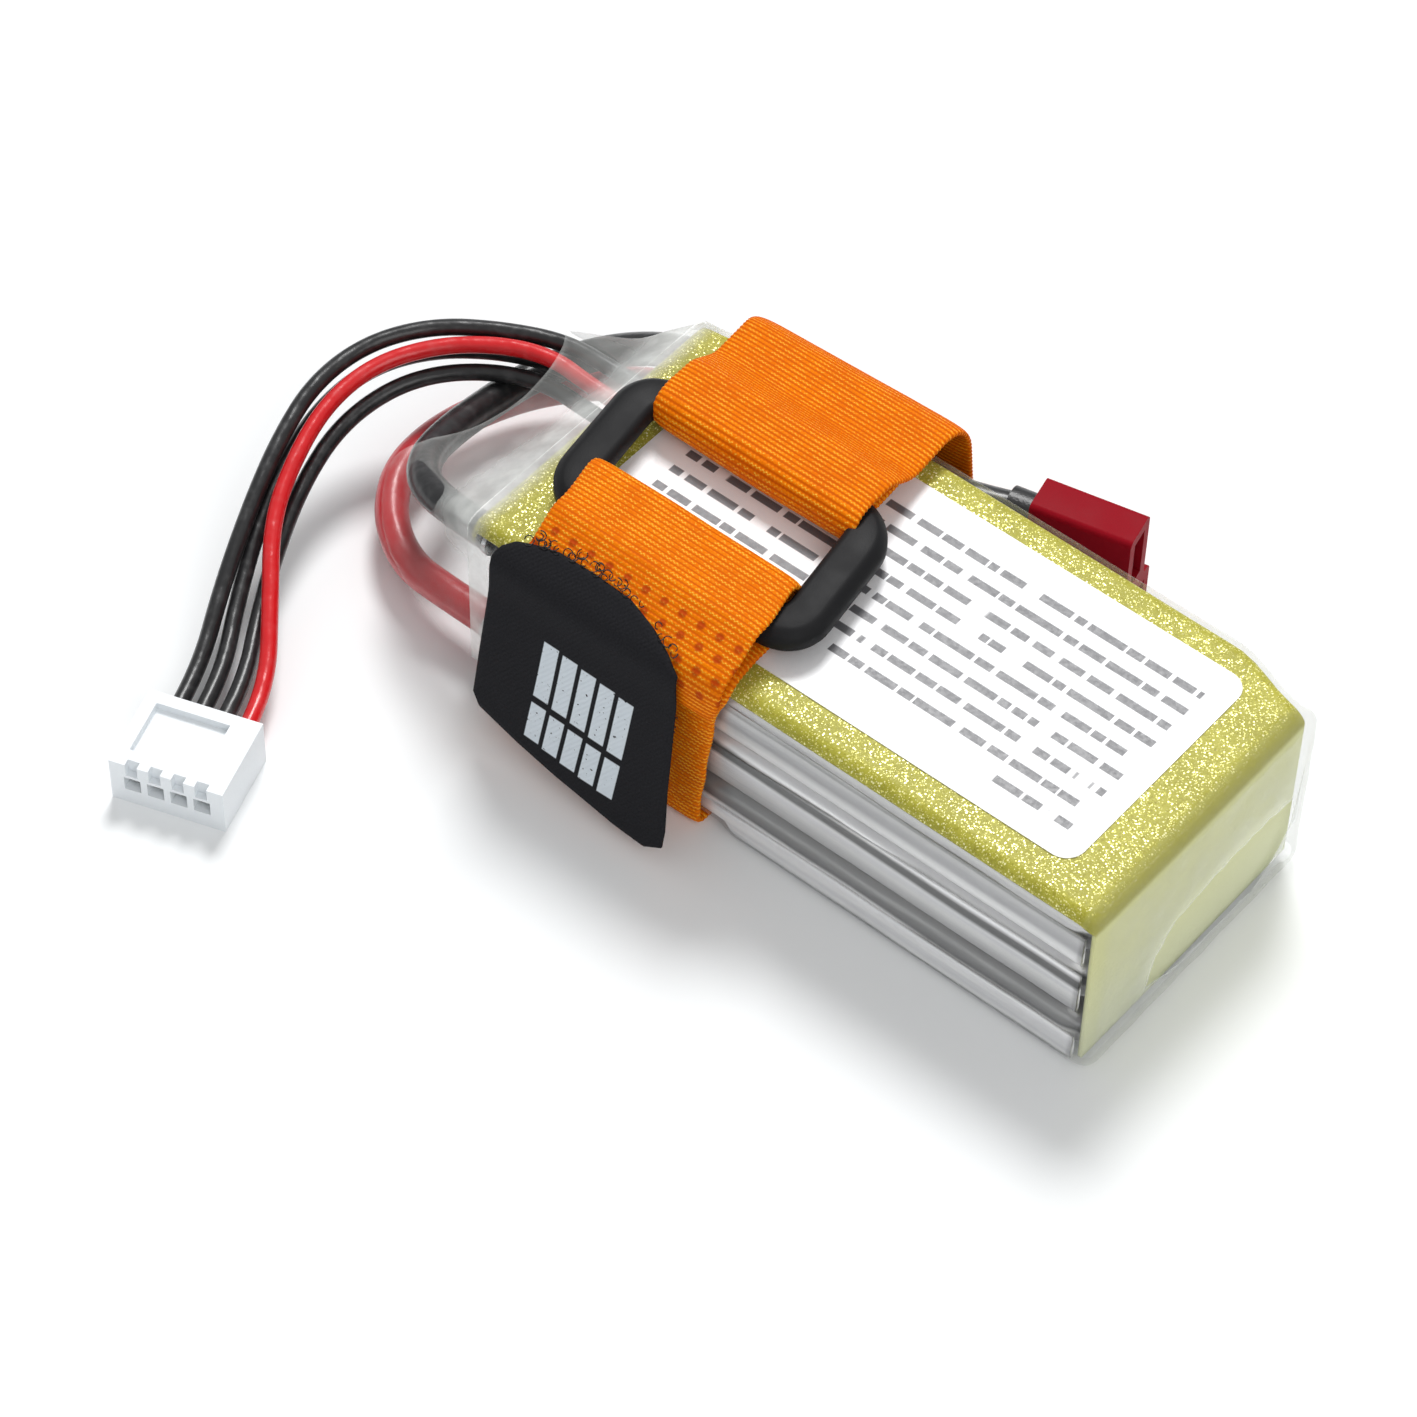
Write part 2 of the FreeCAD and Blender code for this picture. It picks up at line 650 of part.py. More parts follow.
# ---------------------------------------------------------------- card, label and film
def make_card():
    """Stiff card over the top, folded down over the front end and a little at the rear."""
    body = new_body("glitter_card")
    top = cell_level(2) + S.cell_thick + S.card_thick
    under = top - S.card_thick
    profile = new_sketch(body, "CardProfile", "XZ_Plane")
    draw(profile, [
        (S.card_back, top - S.card_lip), (S.card_back, top), (S.card_front, top),
        (S.card_front, S.card_foot), (S.card_front - S.card_thick, S.card_foot),
        (S.card_front - S.card_thick, under), (S.card_back + S.card_thick, under),
        (S.card_back + S.card_thick, top - S.card_lip),
    ])
    pad(body, "CardSheet", profile, S.card_wide, both_ways=True)
    high = top.value - 0.01

    def crease(edge):
        return along(V(0, 1, 0))(edge) and edge.CenterOfMass.z > high

    fillet(body, "CardCreases", S.card_thick * 0.9, crease)
    place(body)
    return keep(body, "glitter_card")


def make_label():
    """The plain paper label on the card."""
    body = new_body("white_label")
    outline = new_sketch(body, "LabelOutline", "XY_Plane")
    draw(outline, rectangle(
        S.label_back + S.label_long / 2, S.label_aside, S.label_long, S.label_wide
    ))
    pad(body, "LabelSheet", outline, S.label_thick)
    fillet(body, "LabelCorners", S.label_round, along(V(0, 0, 1)))
    place(body, z=cell_level(2) + S.cell_thick + S.card_thick)
    return keep(body, "white_label")


def film_block(name, wall, beyond):
    """The sleeve's rounded outside, or the space in it: wall smaller, and beyond its rear end."""
    body = new_body(name)
    long = S.pack_length - wall + beyond
    front = S.pack_length / 2 - wall
    outline = new_sketch(body, f"{name}Outline", "XY_Plane", wall)
    draw(outline, rectangle(front - long / 2, NIL, long, S.pack_width - wall * 2))
    pad(body, f"{name}Pad", outline, S.pack_height - wall * 2)
    fillet(body, f"{name}Edges", S.edge_round - wall, along(V(1, 0, 0)))
    seat = new_sketch(body, f"{name}Seat", "XY_Plane", wall)
    rear = -(S.pack_length / 2 + 5)
    edge = S.dent_edge + wall
    draw(seat, rectangle((rear + edge) / 2, NIL, edge - rear, S.pack_width + 2))
    pocket(body, f"{name}SeatCut", seat, S.dent_deep, reverse=True)
    return body


def make_sleeve():
    """Shrink film round the pouches, closed at the front except for one slit, open at the rear."""
    outside = film_block("FilmOutside", size(0.0), size(0.0))
    inside = film_block("FilmInside", S.film, size(2.0))
    wrap = doc.addObject("Part::Cut", "FilmWrap")
    wrap.Base = outside
    wrap.Tool = inside
    slit = doc.addObject("Part::Box", "FilmSlit")
    bind(slit, "Length", S.film * 4)
    bind(slit, "Width", S.slit_wide)
    bind(slit, "Height", S.slit_tall)
    bind(slit, "Placement.Base.x", S.pack_length / 2 - S.film * 2)
    bind(slit, "Placement.Base.y", S.slit_side)
    bind(slit, "Placement.Base.z", S.slit_low)
    sleeve = doc.addObject("Part::Cut", "Film")
    sleeve.Base = wrap
    sleeve.Tool = slit
    place(sleeve)
    return keep(sleeve, "shrink_sleeve")


def make_tail():
    """The film's loose end: a thin hood over the leads, open below and at its mouth."""
    body = new_body("sleeve_tail")
    half = S.pack_width / 2 - 0.05
    high = S.pack_height - 0.1
    film = S.film
    root = [
        (-half, 2.0), (-half, high), (half, high), (half, 3.0),
        (half - film, 3.0), (half - film, high - film), (-half + film, high - film),
        (-half + film, 2.0),
    ]
    mouth = [
        (-17.3, 2.6), (-16.4, 19.6), (15.4, 16.2), (15.9, 11.0),
        (15.65, 11.0), (15.15, 15.95), (-16.15, 19.35), (-17.05, 2.6),
    ]
    rear = -(S.pack_length / 2)
    near = new_sketch(body, "TailRoot", "YZ_Plane", rear - 0.02)
    draw(near, root)
    far = new_sketch(body, "TailMouth", "YZ_Plane", rear - S.tail_length)
    draw(far, mouth)
    loft = body.newObject("PartDesign::AdditiveLoft", "TailLoft")
    loft.Profile = near
    loft.Sections = [far]
    loft.Ruled = True
    doc.recompute()
    place(body)
    return keep(body, "sleeve_tail")


# ---------------------------------------------------------------- strap, ring and hook tab
# (y, z) corners and bend radii of the webbing's middle line, from the end sewn under the ring's
# far bar, over that bar, round the pack, through the ring and back over its near bar.
STRAP_ROUTE = (
    (13.0, 23.75), (3.45, 23.75), (3.45, 27.45), (9.9, 27.45), (13.9, 25.0), (23.3, 24.9),
    (25.2, 9.0), (18.3, 3.4), (18.1, 0.55), (-18.1, 0.55), (-18.1, 23.75), (-5.35, 23.75),
    (-5.35, 27.45), (-13.3, 27.45), (-19.45, 24.6), (-19.45, 20.2),
)
STRAP_RADII = (1.84, 1.8, 3.0, 4.0, 4.6, 5.0, 3.0, 1.0, 1.0, 2.2, 1.84, 1.8, 3.0, 2.5)
HOOK_ROOT_ROUTE = ((-16.6, 27.15), (-20.5, 25.45), (-20.5, 20.1))
HOOK_ROOT_RADII = (3.4,)


def make_strap():
    band("strap_webbing", STRAP_ROUTE, STRAP_RADII, S.strap_thick, S.strap_wide, S.strap_x)


def make_ring():
    """The plastic ring that the webbing runs through."""
    body = new_body("strap_ring")
    outline = new_sketch(body, "RingOutline", "XY_Plane")
    draw(outline, rectangle(NIL, NIL, S.ring_long, S.ring_wide))
    pad(body, "RingBlock", outline, S.ring_thick)
    fillet(body, "RingCorners", S.ring_round, along(V(0, 0, 1)))
    window = new_sketch(body, "RingWindow", "XY_Plane", S.ring_thick)
    long = S.ring_long - S.ring_end * 2
    wide = S.ring_wide - S.ring_bar * 2
    draw(window, rectangle(NIL, NIL, long, wide))
    pocket(body, "RingWindowCut", window, S.ring_thick)

    def inner_corner(edge):
        return along(V(0, 0, 1))(edge) and abs(edge.CenterOfMass.x) < long.value / 2 + 0.1

    def inner_rim(edge):
        middle = edge.CenterOfMass
        inside = abs(middle.x) < long.value / 2 + 0.1 and abs(middle.y) < wide.value / 2 + 0.1
        return inside and not along(V(0, 0, 1))(edge)

    def end_top(edge):
        middle = edge.CenterOfMass
        outside = abs(middle.x) > S.ring_long.value / 2 - S.ring_round.value - 0.1
        return outside and abs(middle.z - S.ring_thick.value) < 0.01

    fillet(body, "RingWindowCorners", S.ring_corner, inner_corner)
    fillet(body, "RingRim", S.ring_rim, inner_rim)
    fillet(body, "RingEnds", S.ring_soft, end_top)
    place(body, S.strap_x, S.ring_y, S.ring_low)
    return keep(body, "strap_ring")


def make_hook_root():
    """The part of the hook tab that is welded over the webbing's shoulder."""
    band(
        "hook_tab_root", HOOK_ROOT_ROUTE, HOOK_ROOT_RADII, S.root_thick, S.hook_wide, S.strap_x
    )


def hook_outline(shrink):
    """The hanging tab, seen from the side it is printed on, from its bending line down."""
    half = S.hook_wide / 2 - shrink
    foot = S.hook_long - shrink
    head = size(-0.05) - shrink
    return [
        (-half, head), (half, head), (half, -(foot * 0.75)),
        (half - 2.9, -(foot * 0.97)), (0.9, -foot), (-half + 3.1, -(foot * 0.91)),
        (-half, -(foot * 0.79)),
    ]


def make_hook_layer(label, shrink, start, thick):
    """One layer of the hook tab, start behind its outer face."""
    body = new_body(label)
    outline = new_sketch(body, f"{label}_outline", "XZ_Plane", -(start + thick))
    draw(outline, hook_outline(shrink))
    pad(body, f"{label}_sheet", outline, thick)
    place(body, S.strap_x, S.hook_y, S.hook_z, lean=S.hook_lean)
    return keep(body, label)


# ---------------------------------------------------------------- build
for number in range(3):
    make_cell(number)
    make_cell_tabs(number)
make_tape(0, "spacer_tape_lower")
make_tape(1, "spacer_tape_upper")
make_front_pad()
make_insulation()
make_board()
lead_ends = [(BLACK_LEAD[0], S.lead_wide), (RED_LEAD[0], S.lead_wide)]
make_solder(lead_ends + [(route[0], S.wire_wide) for route in BALANCE_WIRES])
make_leads()
make_plug_housing()
make_plug_contact("plug_contact_black", NIL, S.upright_middle, S.blade_thick, S.upright_blade)
make_plug_contact("plug_contact_red", S.plug_step / 2, S.flat_middle, S.flat_blade, S.blade_thick)
make_plug_boot("plug_boot_black", S.black_high)
make_plug_boot("plug_boot_red", S.red_high)
make_balance_housing()
make_balance_terminals()
make_card()
make_label()
make_sleeve()
make_tail()
make_strap()
make_ring()
make_hook_root()
make_hook_layer("hook_tab", size(0.0), size(0.0), S.backing_thick)
make_hook_layer("hook_field", S.pile_margin, S.backing_thick, S.pile_thick)
doc.recompute()

# ---------------------------------------------------------------- check and write
for item in doc.Objects:
    if "Invalid" in item.State or "Error" in item.State:
        raise RuntimeError(f"{item.Label}: {item.State}")
for label, node in nodes.items():
    shape = node.Shape
    if shape.isNull() or not shape.isValid() or not shape.Solids:
        raise RuntimeError(f"{label} has no valid solid")
    if len(shape.Solids) > 1 and node.TypeId == "PartDesign::Body":
        raise RuntimeError(f"{label} is in pieces")

os.makedirs("parts", exist_ok=True)
for label, node in nodes.items():
    node.Shape.exportStep(f"parts/{label}.step")
print(len(nodes), "sub-parts written")
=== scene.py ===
"""Looks of the battery pack: film, foil, glitter card, woven strap, ring, leads and plugs."""
import bpy
import math
import random
from mathutils import Matrix, Vector, noise


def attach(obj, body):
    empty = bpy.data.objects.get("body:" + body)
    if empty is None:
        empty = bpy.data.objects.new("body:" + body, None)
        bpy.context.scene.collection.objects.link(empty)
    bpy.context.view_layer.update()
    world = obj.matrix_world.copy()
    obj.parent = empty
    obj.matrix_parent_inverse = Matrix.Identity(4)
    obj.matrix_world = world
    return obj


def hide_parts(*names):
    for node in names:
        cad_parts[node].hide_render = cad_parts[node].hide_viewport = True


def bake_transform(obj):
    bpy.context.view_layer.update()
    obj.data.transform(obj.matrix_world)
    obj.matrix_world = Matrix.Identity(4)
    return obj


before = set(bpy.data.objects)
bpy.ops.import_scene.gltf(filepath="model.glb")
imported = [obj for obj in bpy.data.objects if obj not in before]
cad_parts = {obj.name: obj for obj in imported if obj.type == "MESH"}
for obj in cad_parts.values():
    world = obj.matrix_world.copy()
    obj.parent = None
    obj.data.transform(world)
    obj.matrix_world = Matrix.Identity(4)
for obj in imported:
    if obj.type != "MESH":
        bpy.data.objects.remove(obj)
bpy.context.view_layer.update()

MM = 0.001
AHEAD, ASIDE = 5.65, -0.21  # the pack's middle from the model's origin, in mm
TURN = 2 * math.pi


# ---------------- helpers
def at(x, y, z):
    """A point of the pack in mm, in the model's frame."""
    return Vector(((x + AHEAD) * MM, (y + ASIDE) * MM, z * MM))


def mix(a, b, share):
    return a + (b - a) * share


def smooth_step(low, high, value):
    share = min(1.0, max(0.0, (value - low) / (high - low)))
    return share * share * (3 - 2 * share)


def table(pairs, value, smooth=True):
    """A smooth or a straight-sided function through (input, output) pairs."""
    if value <= pairs[0][0]:
        return pairs[0][1]
    for (x0, y0), (x1, y1) in zip(pairs, pairs[1:]):
        if value <= x1:
            return mix(y0, y1, smooth_step(x0, x1, value) if smooth else (value - x0) / (x1 - x0))
    return pairs[-1][1]


def linear(pairs, value):
    return table(pairs, value, smooth=False)


def rough(x, y, z, size):
    """Smooth noise from -1 to 1 whose lumps are about size mm."""
    return noise.noise(Vector((x, y, z)) / size)


def spline(points, count):
    """Evenly numbered points on a Catmull-Rom line through points."""
    points = [Vector(p) for p in points]
    total = len(points) - 1
    out = []
    for i in range(count):
        t = i / (count - 1) * total
        k = min(int(t), total - 1)
        f = t - k
        a, b, c, d = (points[min(max(j, 0), total)] for j in range(k - 1, k + 3))
        out.append(
            0.5 * (2 * b + (c - a) * f + (2 * a - 5 * b + 4 * c - d) * f * f
                   + (3 * b - a - 3 * c + d) * f * f * f)
        )
    return out


def even(points, count, closed=False):
    """The same line with its points the same distance apart."""
    points = [Vector(p) for p in points]
    if closed:
        points = points + points[:1]
    lengths = [0.0]
    for a, b in zip(points, points[1:]):
        lengths.append(lengths[-1] + (b - a).length)
    steps = count if closed else count - 1
    out = []
    k = 0
    for i in range(count):
        target = lengths[-1] * i / steps
        while k < len(points) - 2 and lengths[k + 1] < target:
            k += 1
        span = lengths[k + 1] - lengths[k]
        out.append(points[k].lerp(points[k + 1], (target - lengths[k]) / span if span else 0))
    return out


def add_object(name, data):
    obj = bpy.data.objects.new(name, data)
    bpy.context.scene.collection.objects.link(obj)
    return obj


def finish_piece(obj, material, body, slot, replaces=()):
    obj.data.materials.append(material)
    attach(obj, body)
    if replaces:
        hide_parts(*replaces)


def make_mesh(name, points, faces, uvs=None, frost=None):
    """An object from points in mm. uvs and frost give one value for each point."""
    mesh = bpy.data.meshes.new(name)
    mesh.from_pydata([at(*p) for p in points], [], faces)
    if uvs is not None:
        layer = mesh.uv_layers.new(name="cloth")
        for loop in mesh.loops:
            layer.data[loop.index].uv = uvs[loop.vertex_index]
    if frost is not None:
        layer = mesh.attributes.new("frost", "FLOAT", "POINT")
        layer.data.foreach_set("value", frost)
    mesh.validate()
    mesh.shade_smooth()
    return add_object(name, mesh)


def skin_faces(rings, count, loop=True, closed=False, first=0):
    """Four-sided faces between rings of count points each."""
    faces = []
    for i in range(rings if closed else rings - 1):
        j = (i + 1) % rings
        for k in range(count if loop else count - 1):
            m = (k + 1) % count
            faces.append((
                first + i * count + k, first + i * count + m,
                first + j * count + m, first + j * count + k,
            ))
    return faces


def skin(name, rings, loop=True, closed=False, caps=False, uvs=None, frost=None):
    count = len(rings[0])
    faces = skin_faces(len(rings), count, loop, closed)
    if caps:
        last = (len(rings) - 1) * count
        faces.append(tuple(reversed(range(count))))
        faces.append(tuple(range(last, last + count)))
    points = [p for ring in rings for p in ring]
    return make_mesh(name, points, faces, uvs, frost)


def add_tube(points, faces, rings):
    """Adds a tube of rings, closed at both ends, to a mesh's points and faces."""
    first, count = len(points), len(rings[0])
    last = first + (len(rings) - 1) * count
    points += [p for ring in rings for p in ring]
    faces += skin_faces(len(rings), count, first=first)
    faces.append(tuple(range(first, first + count)))
    faces.append(tuple(reversed(range(last, last + count))))


def rounded_box(half_y, low, high, radius, count):
    """(y, z) points round a rounded rectangle, evenly spaced, from the middle of its underside."""
    corners = [
        (half_y - radius, low + radius, -90), (half_y - radius, high - radius, 0),
        (-half_y + radius, high - radius, 90), (-half_y + radius, low + radius, 180),
    ]
    points = [Vector((0, low, 0))]
    for y, z, start in corners:
        for step in range(13):
            angle = math.radians(start + step * 7.5)
            points.append(Vector((y + radius * math.cos(angle), z + radius * math.sin(angle), 0)))
    return even(points, count, closed=True)


def rounded_path(points, radii, step):
    """Even steps along straight runs joined by arcs, as (point, direction) pairs in a plane."""
    points = [Vector(p) for p in points]
    line = [points[0]]
    for i in range(1, len(points) - 1):
        back = (points[i - 1] - points[i]).normalized()
        on = (points[i + 1] - points[i]).normalized()
        half_turn = (math.pi - back.angle(on)) / 2
        centre = points[i] + (back + on).normalized() * (radii[i - 1] / math.cos(half_turn))
        start = points[i] + back * radii[i - 1] * math.tan(half_turn)
        end = points[i] + on * radii[i - 1] * math.tan(half_turn)
        steps = max(4, int(half_turn * 20))
        for k in range(steps + 1):
            arm = (start - centre).slerp(end - centre, k / steps) * radii[i - 1]
            line.append(centre + arm)
    line.append(points[-1])
    length = sum((b - a).length for a, b in zip(line, line[1:]))
    line = even([p.to_3d() for p in line], int(length / step) + 1)
    out = []
    for i, p in enumerate(line):
        way = line[min(i + 1, len(line) - 1)] - line[max(i - 1, 0)]
        out.append((Vector((p.x, p.y)), Vector((way.x, way.y)).normalized()))
    return out


# ---------------- shader helpers
class Shader:
    """The node tree of a material or of the world, with its shader at the end."""

    def __init__(self, name, owners=bpy.data.materials, end="Principled BSDF"):
        self.material = owners.new(name)
        self.material.use_nodes = True
        self.tree = self.material.node_tree
        self.end = self.tree.nodes[end]

    def node(self, kind, inputs=None, **settings):
        made = self.tree.nodes.new("ShaderNode" + kind)
        for key, value in settings.items():
            setattr(made, key, value)
        for key, value in (inputs or {}).items():
            self.feed(made.inputs[key], value)
        return made

    def feed(self, socket, value):
        if isinstance(value, bpy.types.NodeSocket):
            self.tree.links.new(value, socket)
        else:
            socket.default_value = value

    def set(self, **values):
        for key, value in values.items():
            self.feed(self.end.inputs[key.replace("_", " ")], value)
        return self

    def math(self, operation, a, b=0.0, c=0.0, clamp=False):
        made = self.node("Math", {0: a, 1: b, 2: c}, operation=operation, use_clamp=clamp)
        return made.outputs[0]

    def wave(self, phase):
        """A cosine of phase, brought between 0 and 1."""
        return self.math("MULTIPLY_ADD", self.math("COSINE", phase), 0.5, 0.5)

    def vector(self, operation, inputs):
        return self.node("VectorMath", inputs, operation=operation).outputs[0]

    def product(self, first, *others):
        for other in others:
            first = self.math("MULTIPLY", first, other)
        return first

    def band(self, value, low, high, soft):
        """1 between low and high, fading to 0 over soft inside them."""
        return self.product(
            self.ramp(value, low, low + soft), self.ramp(value, high, high - soft)
        )

    def blend(self, share, a, b, kind="MIX"):
        """A colour from a to b."""
        made = self.node("Mix", data_type="RGBA", blend_type=kind)
        self.feed(made.inputs["Factor"], share)
        self.feed(made.inputs["A"], a)
        self.feed(made.inputs["B"], b)
        return made.outputs["Result"]

    def ramp(self, value, low, high, out_low=0.0, out_high=1.0):
        made = self.node(
            "MapRange",
            {"Value": value, "From Min": low, "From Max": high, "To Min": out_low,
             "To Max": out_high},
            interpolation_type="SMOOTHSTEP",
        )
        return made.outputs["Result"]

    def stops(self, value, pairs):
        """A colour ramp through (position, colour) pairs."""
        made = self.node("ValToRGB", {"Fac": value})
        elements = made.color_ramp.elements
        for element, (position, colour) in zip(list(elements), (pairs[0], pairs[-1])):
            element.position, element.color = position, colour
        for position, colour in pairs[1:-1]:
            elements.new(position).color = colour
        return made.outputs["Color"]

    def place(self, scale=(1, 1, 1), uv=None):
        """Coordinates in mm, of the model or of a named UV map, stretched by scale."""
        if uv is None:
            source = self.node("TexCoord").outputs["Object"]
            size = [1 / MM * s for s in scale]
        else:
            source = self.node("UVMap", uv_map=uv).outputs["UV"]
            size = scale
        made = self.node("Mapping", {"Vector": source, "Scale": size})
        return made.outputs["Vector"]

    def parts(self, vector):
        made = self.node("SeparateXYZ", {"Vector": vector})
        return made.outputs["X"], made.outputs["Y"], made.outputs["Z"]

    def colours(self, colour):
        made = self.node("SeparateColor", {"Color": colour})
        return made.outputs[0], made.outputs[1], made.outputs[2]

    def noise(self, vector, scale, detail=2.0):
        made = self.node("TexNoise", {"Vector": vector, "Scale": scale, "Detail": detail})
        return made.outputs["Fac"]

    def bump(self, height, distance, strength=1.0, under=None):
        """Bump of a height from 0 to 1 over distance mm."""
        made = self.node(
            "Bump", {"Height": height, "Distance": distance * MM, "Strength": strength}
        )
        if under is not None:
            self.feed(made.inputs["Normal"], under)
        return made.outputs["Normal"]


def rgb(red, green, blue):
    return (red, green, blue, 1.0)


def moulded(name, colour, roughness, grain=0.02, grain_size=0.25, vary=0.12, **more):
    """Moulded plastic or rubber: slight colour change, fine grain and uneven gloss."""
    s = Shader(name)
    place = s.place()
    cloud = s.noise(place, 0.16, 3.0)
    low = tuple(c * (1 - vary) for c in colour[:3]) + (1.0,)
    high = tuple(min(1.0, c * (1 + vary)) for c in colour[:3]) + (1.0,)
    fine = s.noise(place, 1 / grain_size, 2.0)
    s.set(
        Base_Color=s.blend(cloud, low, high),
        Roughness=s.ramp(cloud, 0.3, 0.7, roughness * 0.88, roughness * 1.12),
        Normal=s.bump(fine, grain),
    )
    return s.set(**more).material


# ---------------- camera and light
TARGET = Vector((-0.00632, -0.01237, 0.010))
CAMERA_AZIMUTH, CAMERA_ELEVATION, CAMERA_ROLL = (math.radians(a) for a in (38.86, 50.59, 1.24))
CAMERA_DISTANCE = 0.4924
CAMERA_LENS = 127.1


def make_camera():
    back = Vector((
        math.sin(CAMERA_AZIMUTH) * math.cos(CAMERA_ELEVATION),
        -math.cos(CAMERA_AZIMUTH) * math.cos(CAMERA_ELEVATION),
        math.sin(CAMERA_ELEVATION),
    ))
    right = Vector((math.cos(CAMERA_AZIMUTH), math.sin(CAMERA_AZIMUTH), 0))
    up = back.cross(right)
    rolled_right = right * math.cos(CAMERA_ROLL) + up * math.sin(CAMERA_ROLL)
    rolled_up = up * math.cos(CAMERA_ROLL) - right * math.sin(CAMERA_ROLL)
    data = bpy.data.cameras.new("camera")
    data.lens = CAMERA_LENS
    data.sensor_width = 36
    data.clip_start, data.clip_end = 0.01, 10
    camera = add_object("camera", data)
    turn = Matrix((rolled_right, rolled_up, back)).transposed()
    camera.matrix_world = Matrix.Translation(TARGET + back * CAMERA_DISTANCE) @ turn.to_4x4()
    bpy.context.scene.camera = camera


def make_lamp(name, place, size, watts):
    data = bpy.data.lights.new(name, "AREA")
    data.shape = "DISK"
    data.size = size
    data.energy = watts
    lamp = add_object(name, data)
    lamp.location = place
    lamp.rotation_mode = "QUATERNION"
    lamp.rotation_quaternion = Vector(place).to_track_quat("Z", "Y")


def make_studio():
    s = Shader("pale floor")
    s.set(Base_Color=rgb(0.93, 0.945, 0.95), Roughness=0.85, Specular_IOR_Level=0.2)
    mesh = bpy.data.meshes.new("floor")
    far = 3.0
    corners = [(-far, -far, 0), (far, -far, 0), (far, far, 0), (-far, far, 0)]
    mesh.from_pydata(corners, [], [(0, 1, 2, 3)])
    mesh.materials.append(s.material)
    add_object("floor", mesh)
    s = Shader("studio", bpy.data.worlds, "Background")
    up = s.parts(s.node("TexCoord").outputs["Generated"])[2]
    share = s.math("MULTIPLY_ADD", up, 0.5, 0.5)  # from 0 straight down to 1 straight up
    sky = s.stops(share, ((0.42, rgb(0.52, 0.54, 0.57)), (0.85, rgb(1.0, 1.0, 1.0))))
    s.set(Color=sky, Strength=0.5)
    bpy.context.scene.world = s.material
    make_lamp("key", (-0.35, 0.55, 1.05), 0.42, 10.5)
    make_lamp("fill", (0.9, -0.5, 0.9), 0.9, 4.5)
    bpy.context.scene.view_settings.view_transform = "Standard"


# ---------------- leads and wires
LEAD_WIDE, WIRE_WIDE = 3.6, 1.8
PLUG_REAR, PLUG_YAW, PLUG_LOW = (0.4, 24.1), 12.7, 4.0
BOOT_LONG = 3.0
HOUSING_REAR, HOUSING_YAW, WIRE_HIGH, PITCH = (-52.3, -41.6), 19.0, 2.9, 2.5
LEADS = (  # node, length, height at the plug, and route
    ("main_lead_black", 96.0, 12.2, [
        (-38.4, -13.9, 17.6), (-44.2, -13.9, 17.6), (-49.6, -12.0, 15.9), (-53.3, -7.6, 13.6),
        (-55.1, -1.8, 11.3), (-55.9, 4.6, 9.4), (-55.6, 11.0, 8.6), (-52.8, 16.4, 9.4),
        (-47.6, 19.5, 11.8), (-41.4, 20.1, 14.8), (-33.6, 20.0, 16.3), (-21.6, 20.1, 16.5),
        (-12.2, 20.4, 16.4), (-6.5, 21.9, 16.0),
    ]),
    ("main_lead_red", 101.9, 4.3, [
        (-38.4, -14.6, 5.2), (-44.4, -14.6, 5.2), (-50.4, -14.0, 4.6), (-56.0, -10.6, 4.8),
        (-59.6, -5.2, 4.9), (-60.4, 1.2, 4.4), (-59.2, 7.4, 4.1), (-56.4, 13.2, 4.2),
        (-51.8, 17.6, 5.0), (-45.6, 20.0, 7.2), (-38.8, 20.1, 10.0), (-30.6, 20.0, 11.8),
        (-20.6, 20.1, 12.1), (-12.6, 20.3, 11.4), (-6.7, 21.6, 9.8),
    ]),
)
BALANCE_WIRES = (  # length and route; the last is the red one
    (82.3, [
        (-38.4, 13.2, 14.6), (-45.4, 13.2, 14.6), (-52.2, 13.3, 14.3), (-58.6, 10.4, 14.2),
        (-64.6, 6.4, 13.9), (-68.6, 0.5, 13.3), (-69.6, -6.6, 12.4), (-67.9, -13.8, 11.0),
        (-65.4, -20.8, 8.9), (-62.2, -28.8, 5.6),
    ]),
    (79.2, [
        (-38.4, 11.2, 12.8), (-45.4, 11.2, 12.8), (-52.2, 11.5, 12.6), (-58.4, 9.0, 12.3),
        (-63.8, 5.0, 11.9), (-67.3, -0.4, 11.3), (-68.2, -7.0, 10.3), (-66.8, -14.2, 8.9),
        (-64.3, -21.0, 6.9), (-60.6, -28.4, 4.2),
    ]),
    (74.2, [
        (-38.4, 8.8, 12.2), (-45.2, 8.8, 12.2), (-51.6, 9.1, 12.1), (-57.2, 6.8, 11.8),
        (-61.8, 3.1, 11.2), (-64.6, -1.6, 10.3), (-65.6, -7.8, 9.0), (-64.2, -14.6, 7.4),
        (-61.7, -21.0, 5.5), (-58.1, -28.0, 3.5),
    ]),
    (78.2, [
        (-38.4, 9.6, 15.0), (-45.4, 9.6, 15.0), (-51.8, 10.4, 14.8), (-57.6, 8.2, 14.5),
        (-62.8, 4.2, 13.8), (-66.3, -1.2, 12.9), (-67.0, -7.6, 11.8), (-65.3, -14.4, 10.4),
        (-62.5, -21.0, 8.4), (-56.9, -27.4, 5.8),
    ]),
)


def turned(x, y, yaw):
    angle = math.radians(yaw)
    return x * math.cos(angle) - y * math.sin(angle), x * math.sin(angle) + y * math.cos(angle)


def plug_point(back, high):
    x, y = turned(-back, 0, PLUG_YAW)
    return PLUG_REAR[0] + x, PLUG_REAR[1] + y, PLUG_LOW + high


def housing_point(index, back):
    x, y = turned((index - 1.5) * PITCH, back, HOUSING_YAW)
    return HOUSING_REAR[0] + x, HOUSING_REAR[1] + y, WIRE_HIGH


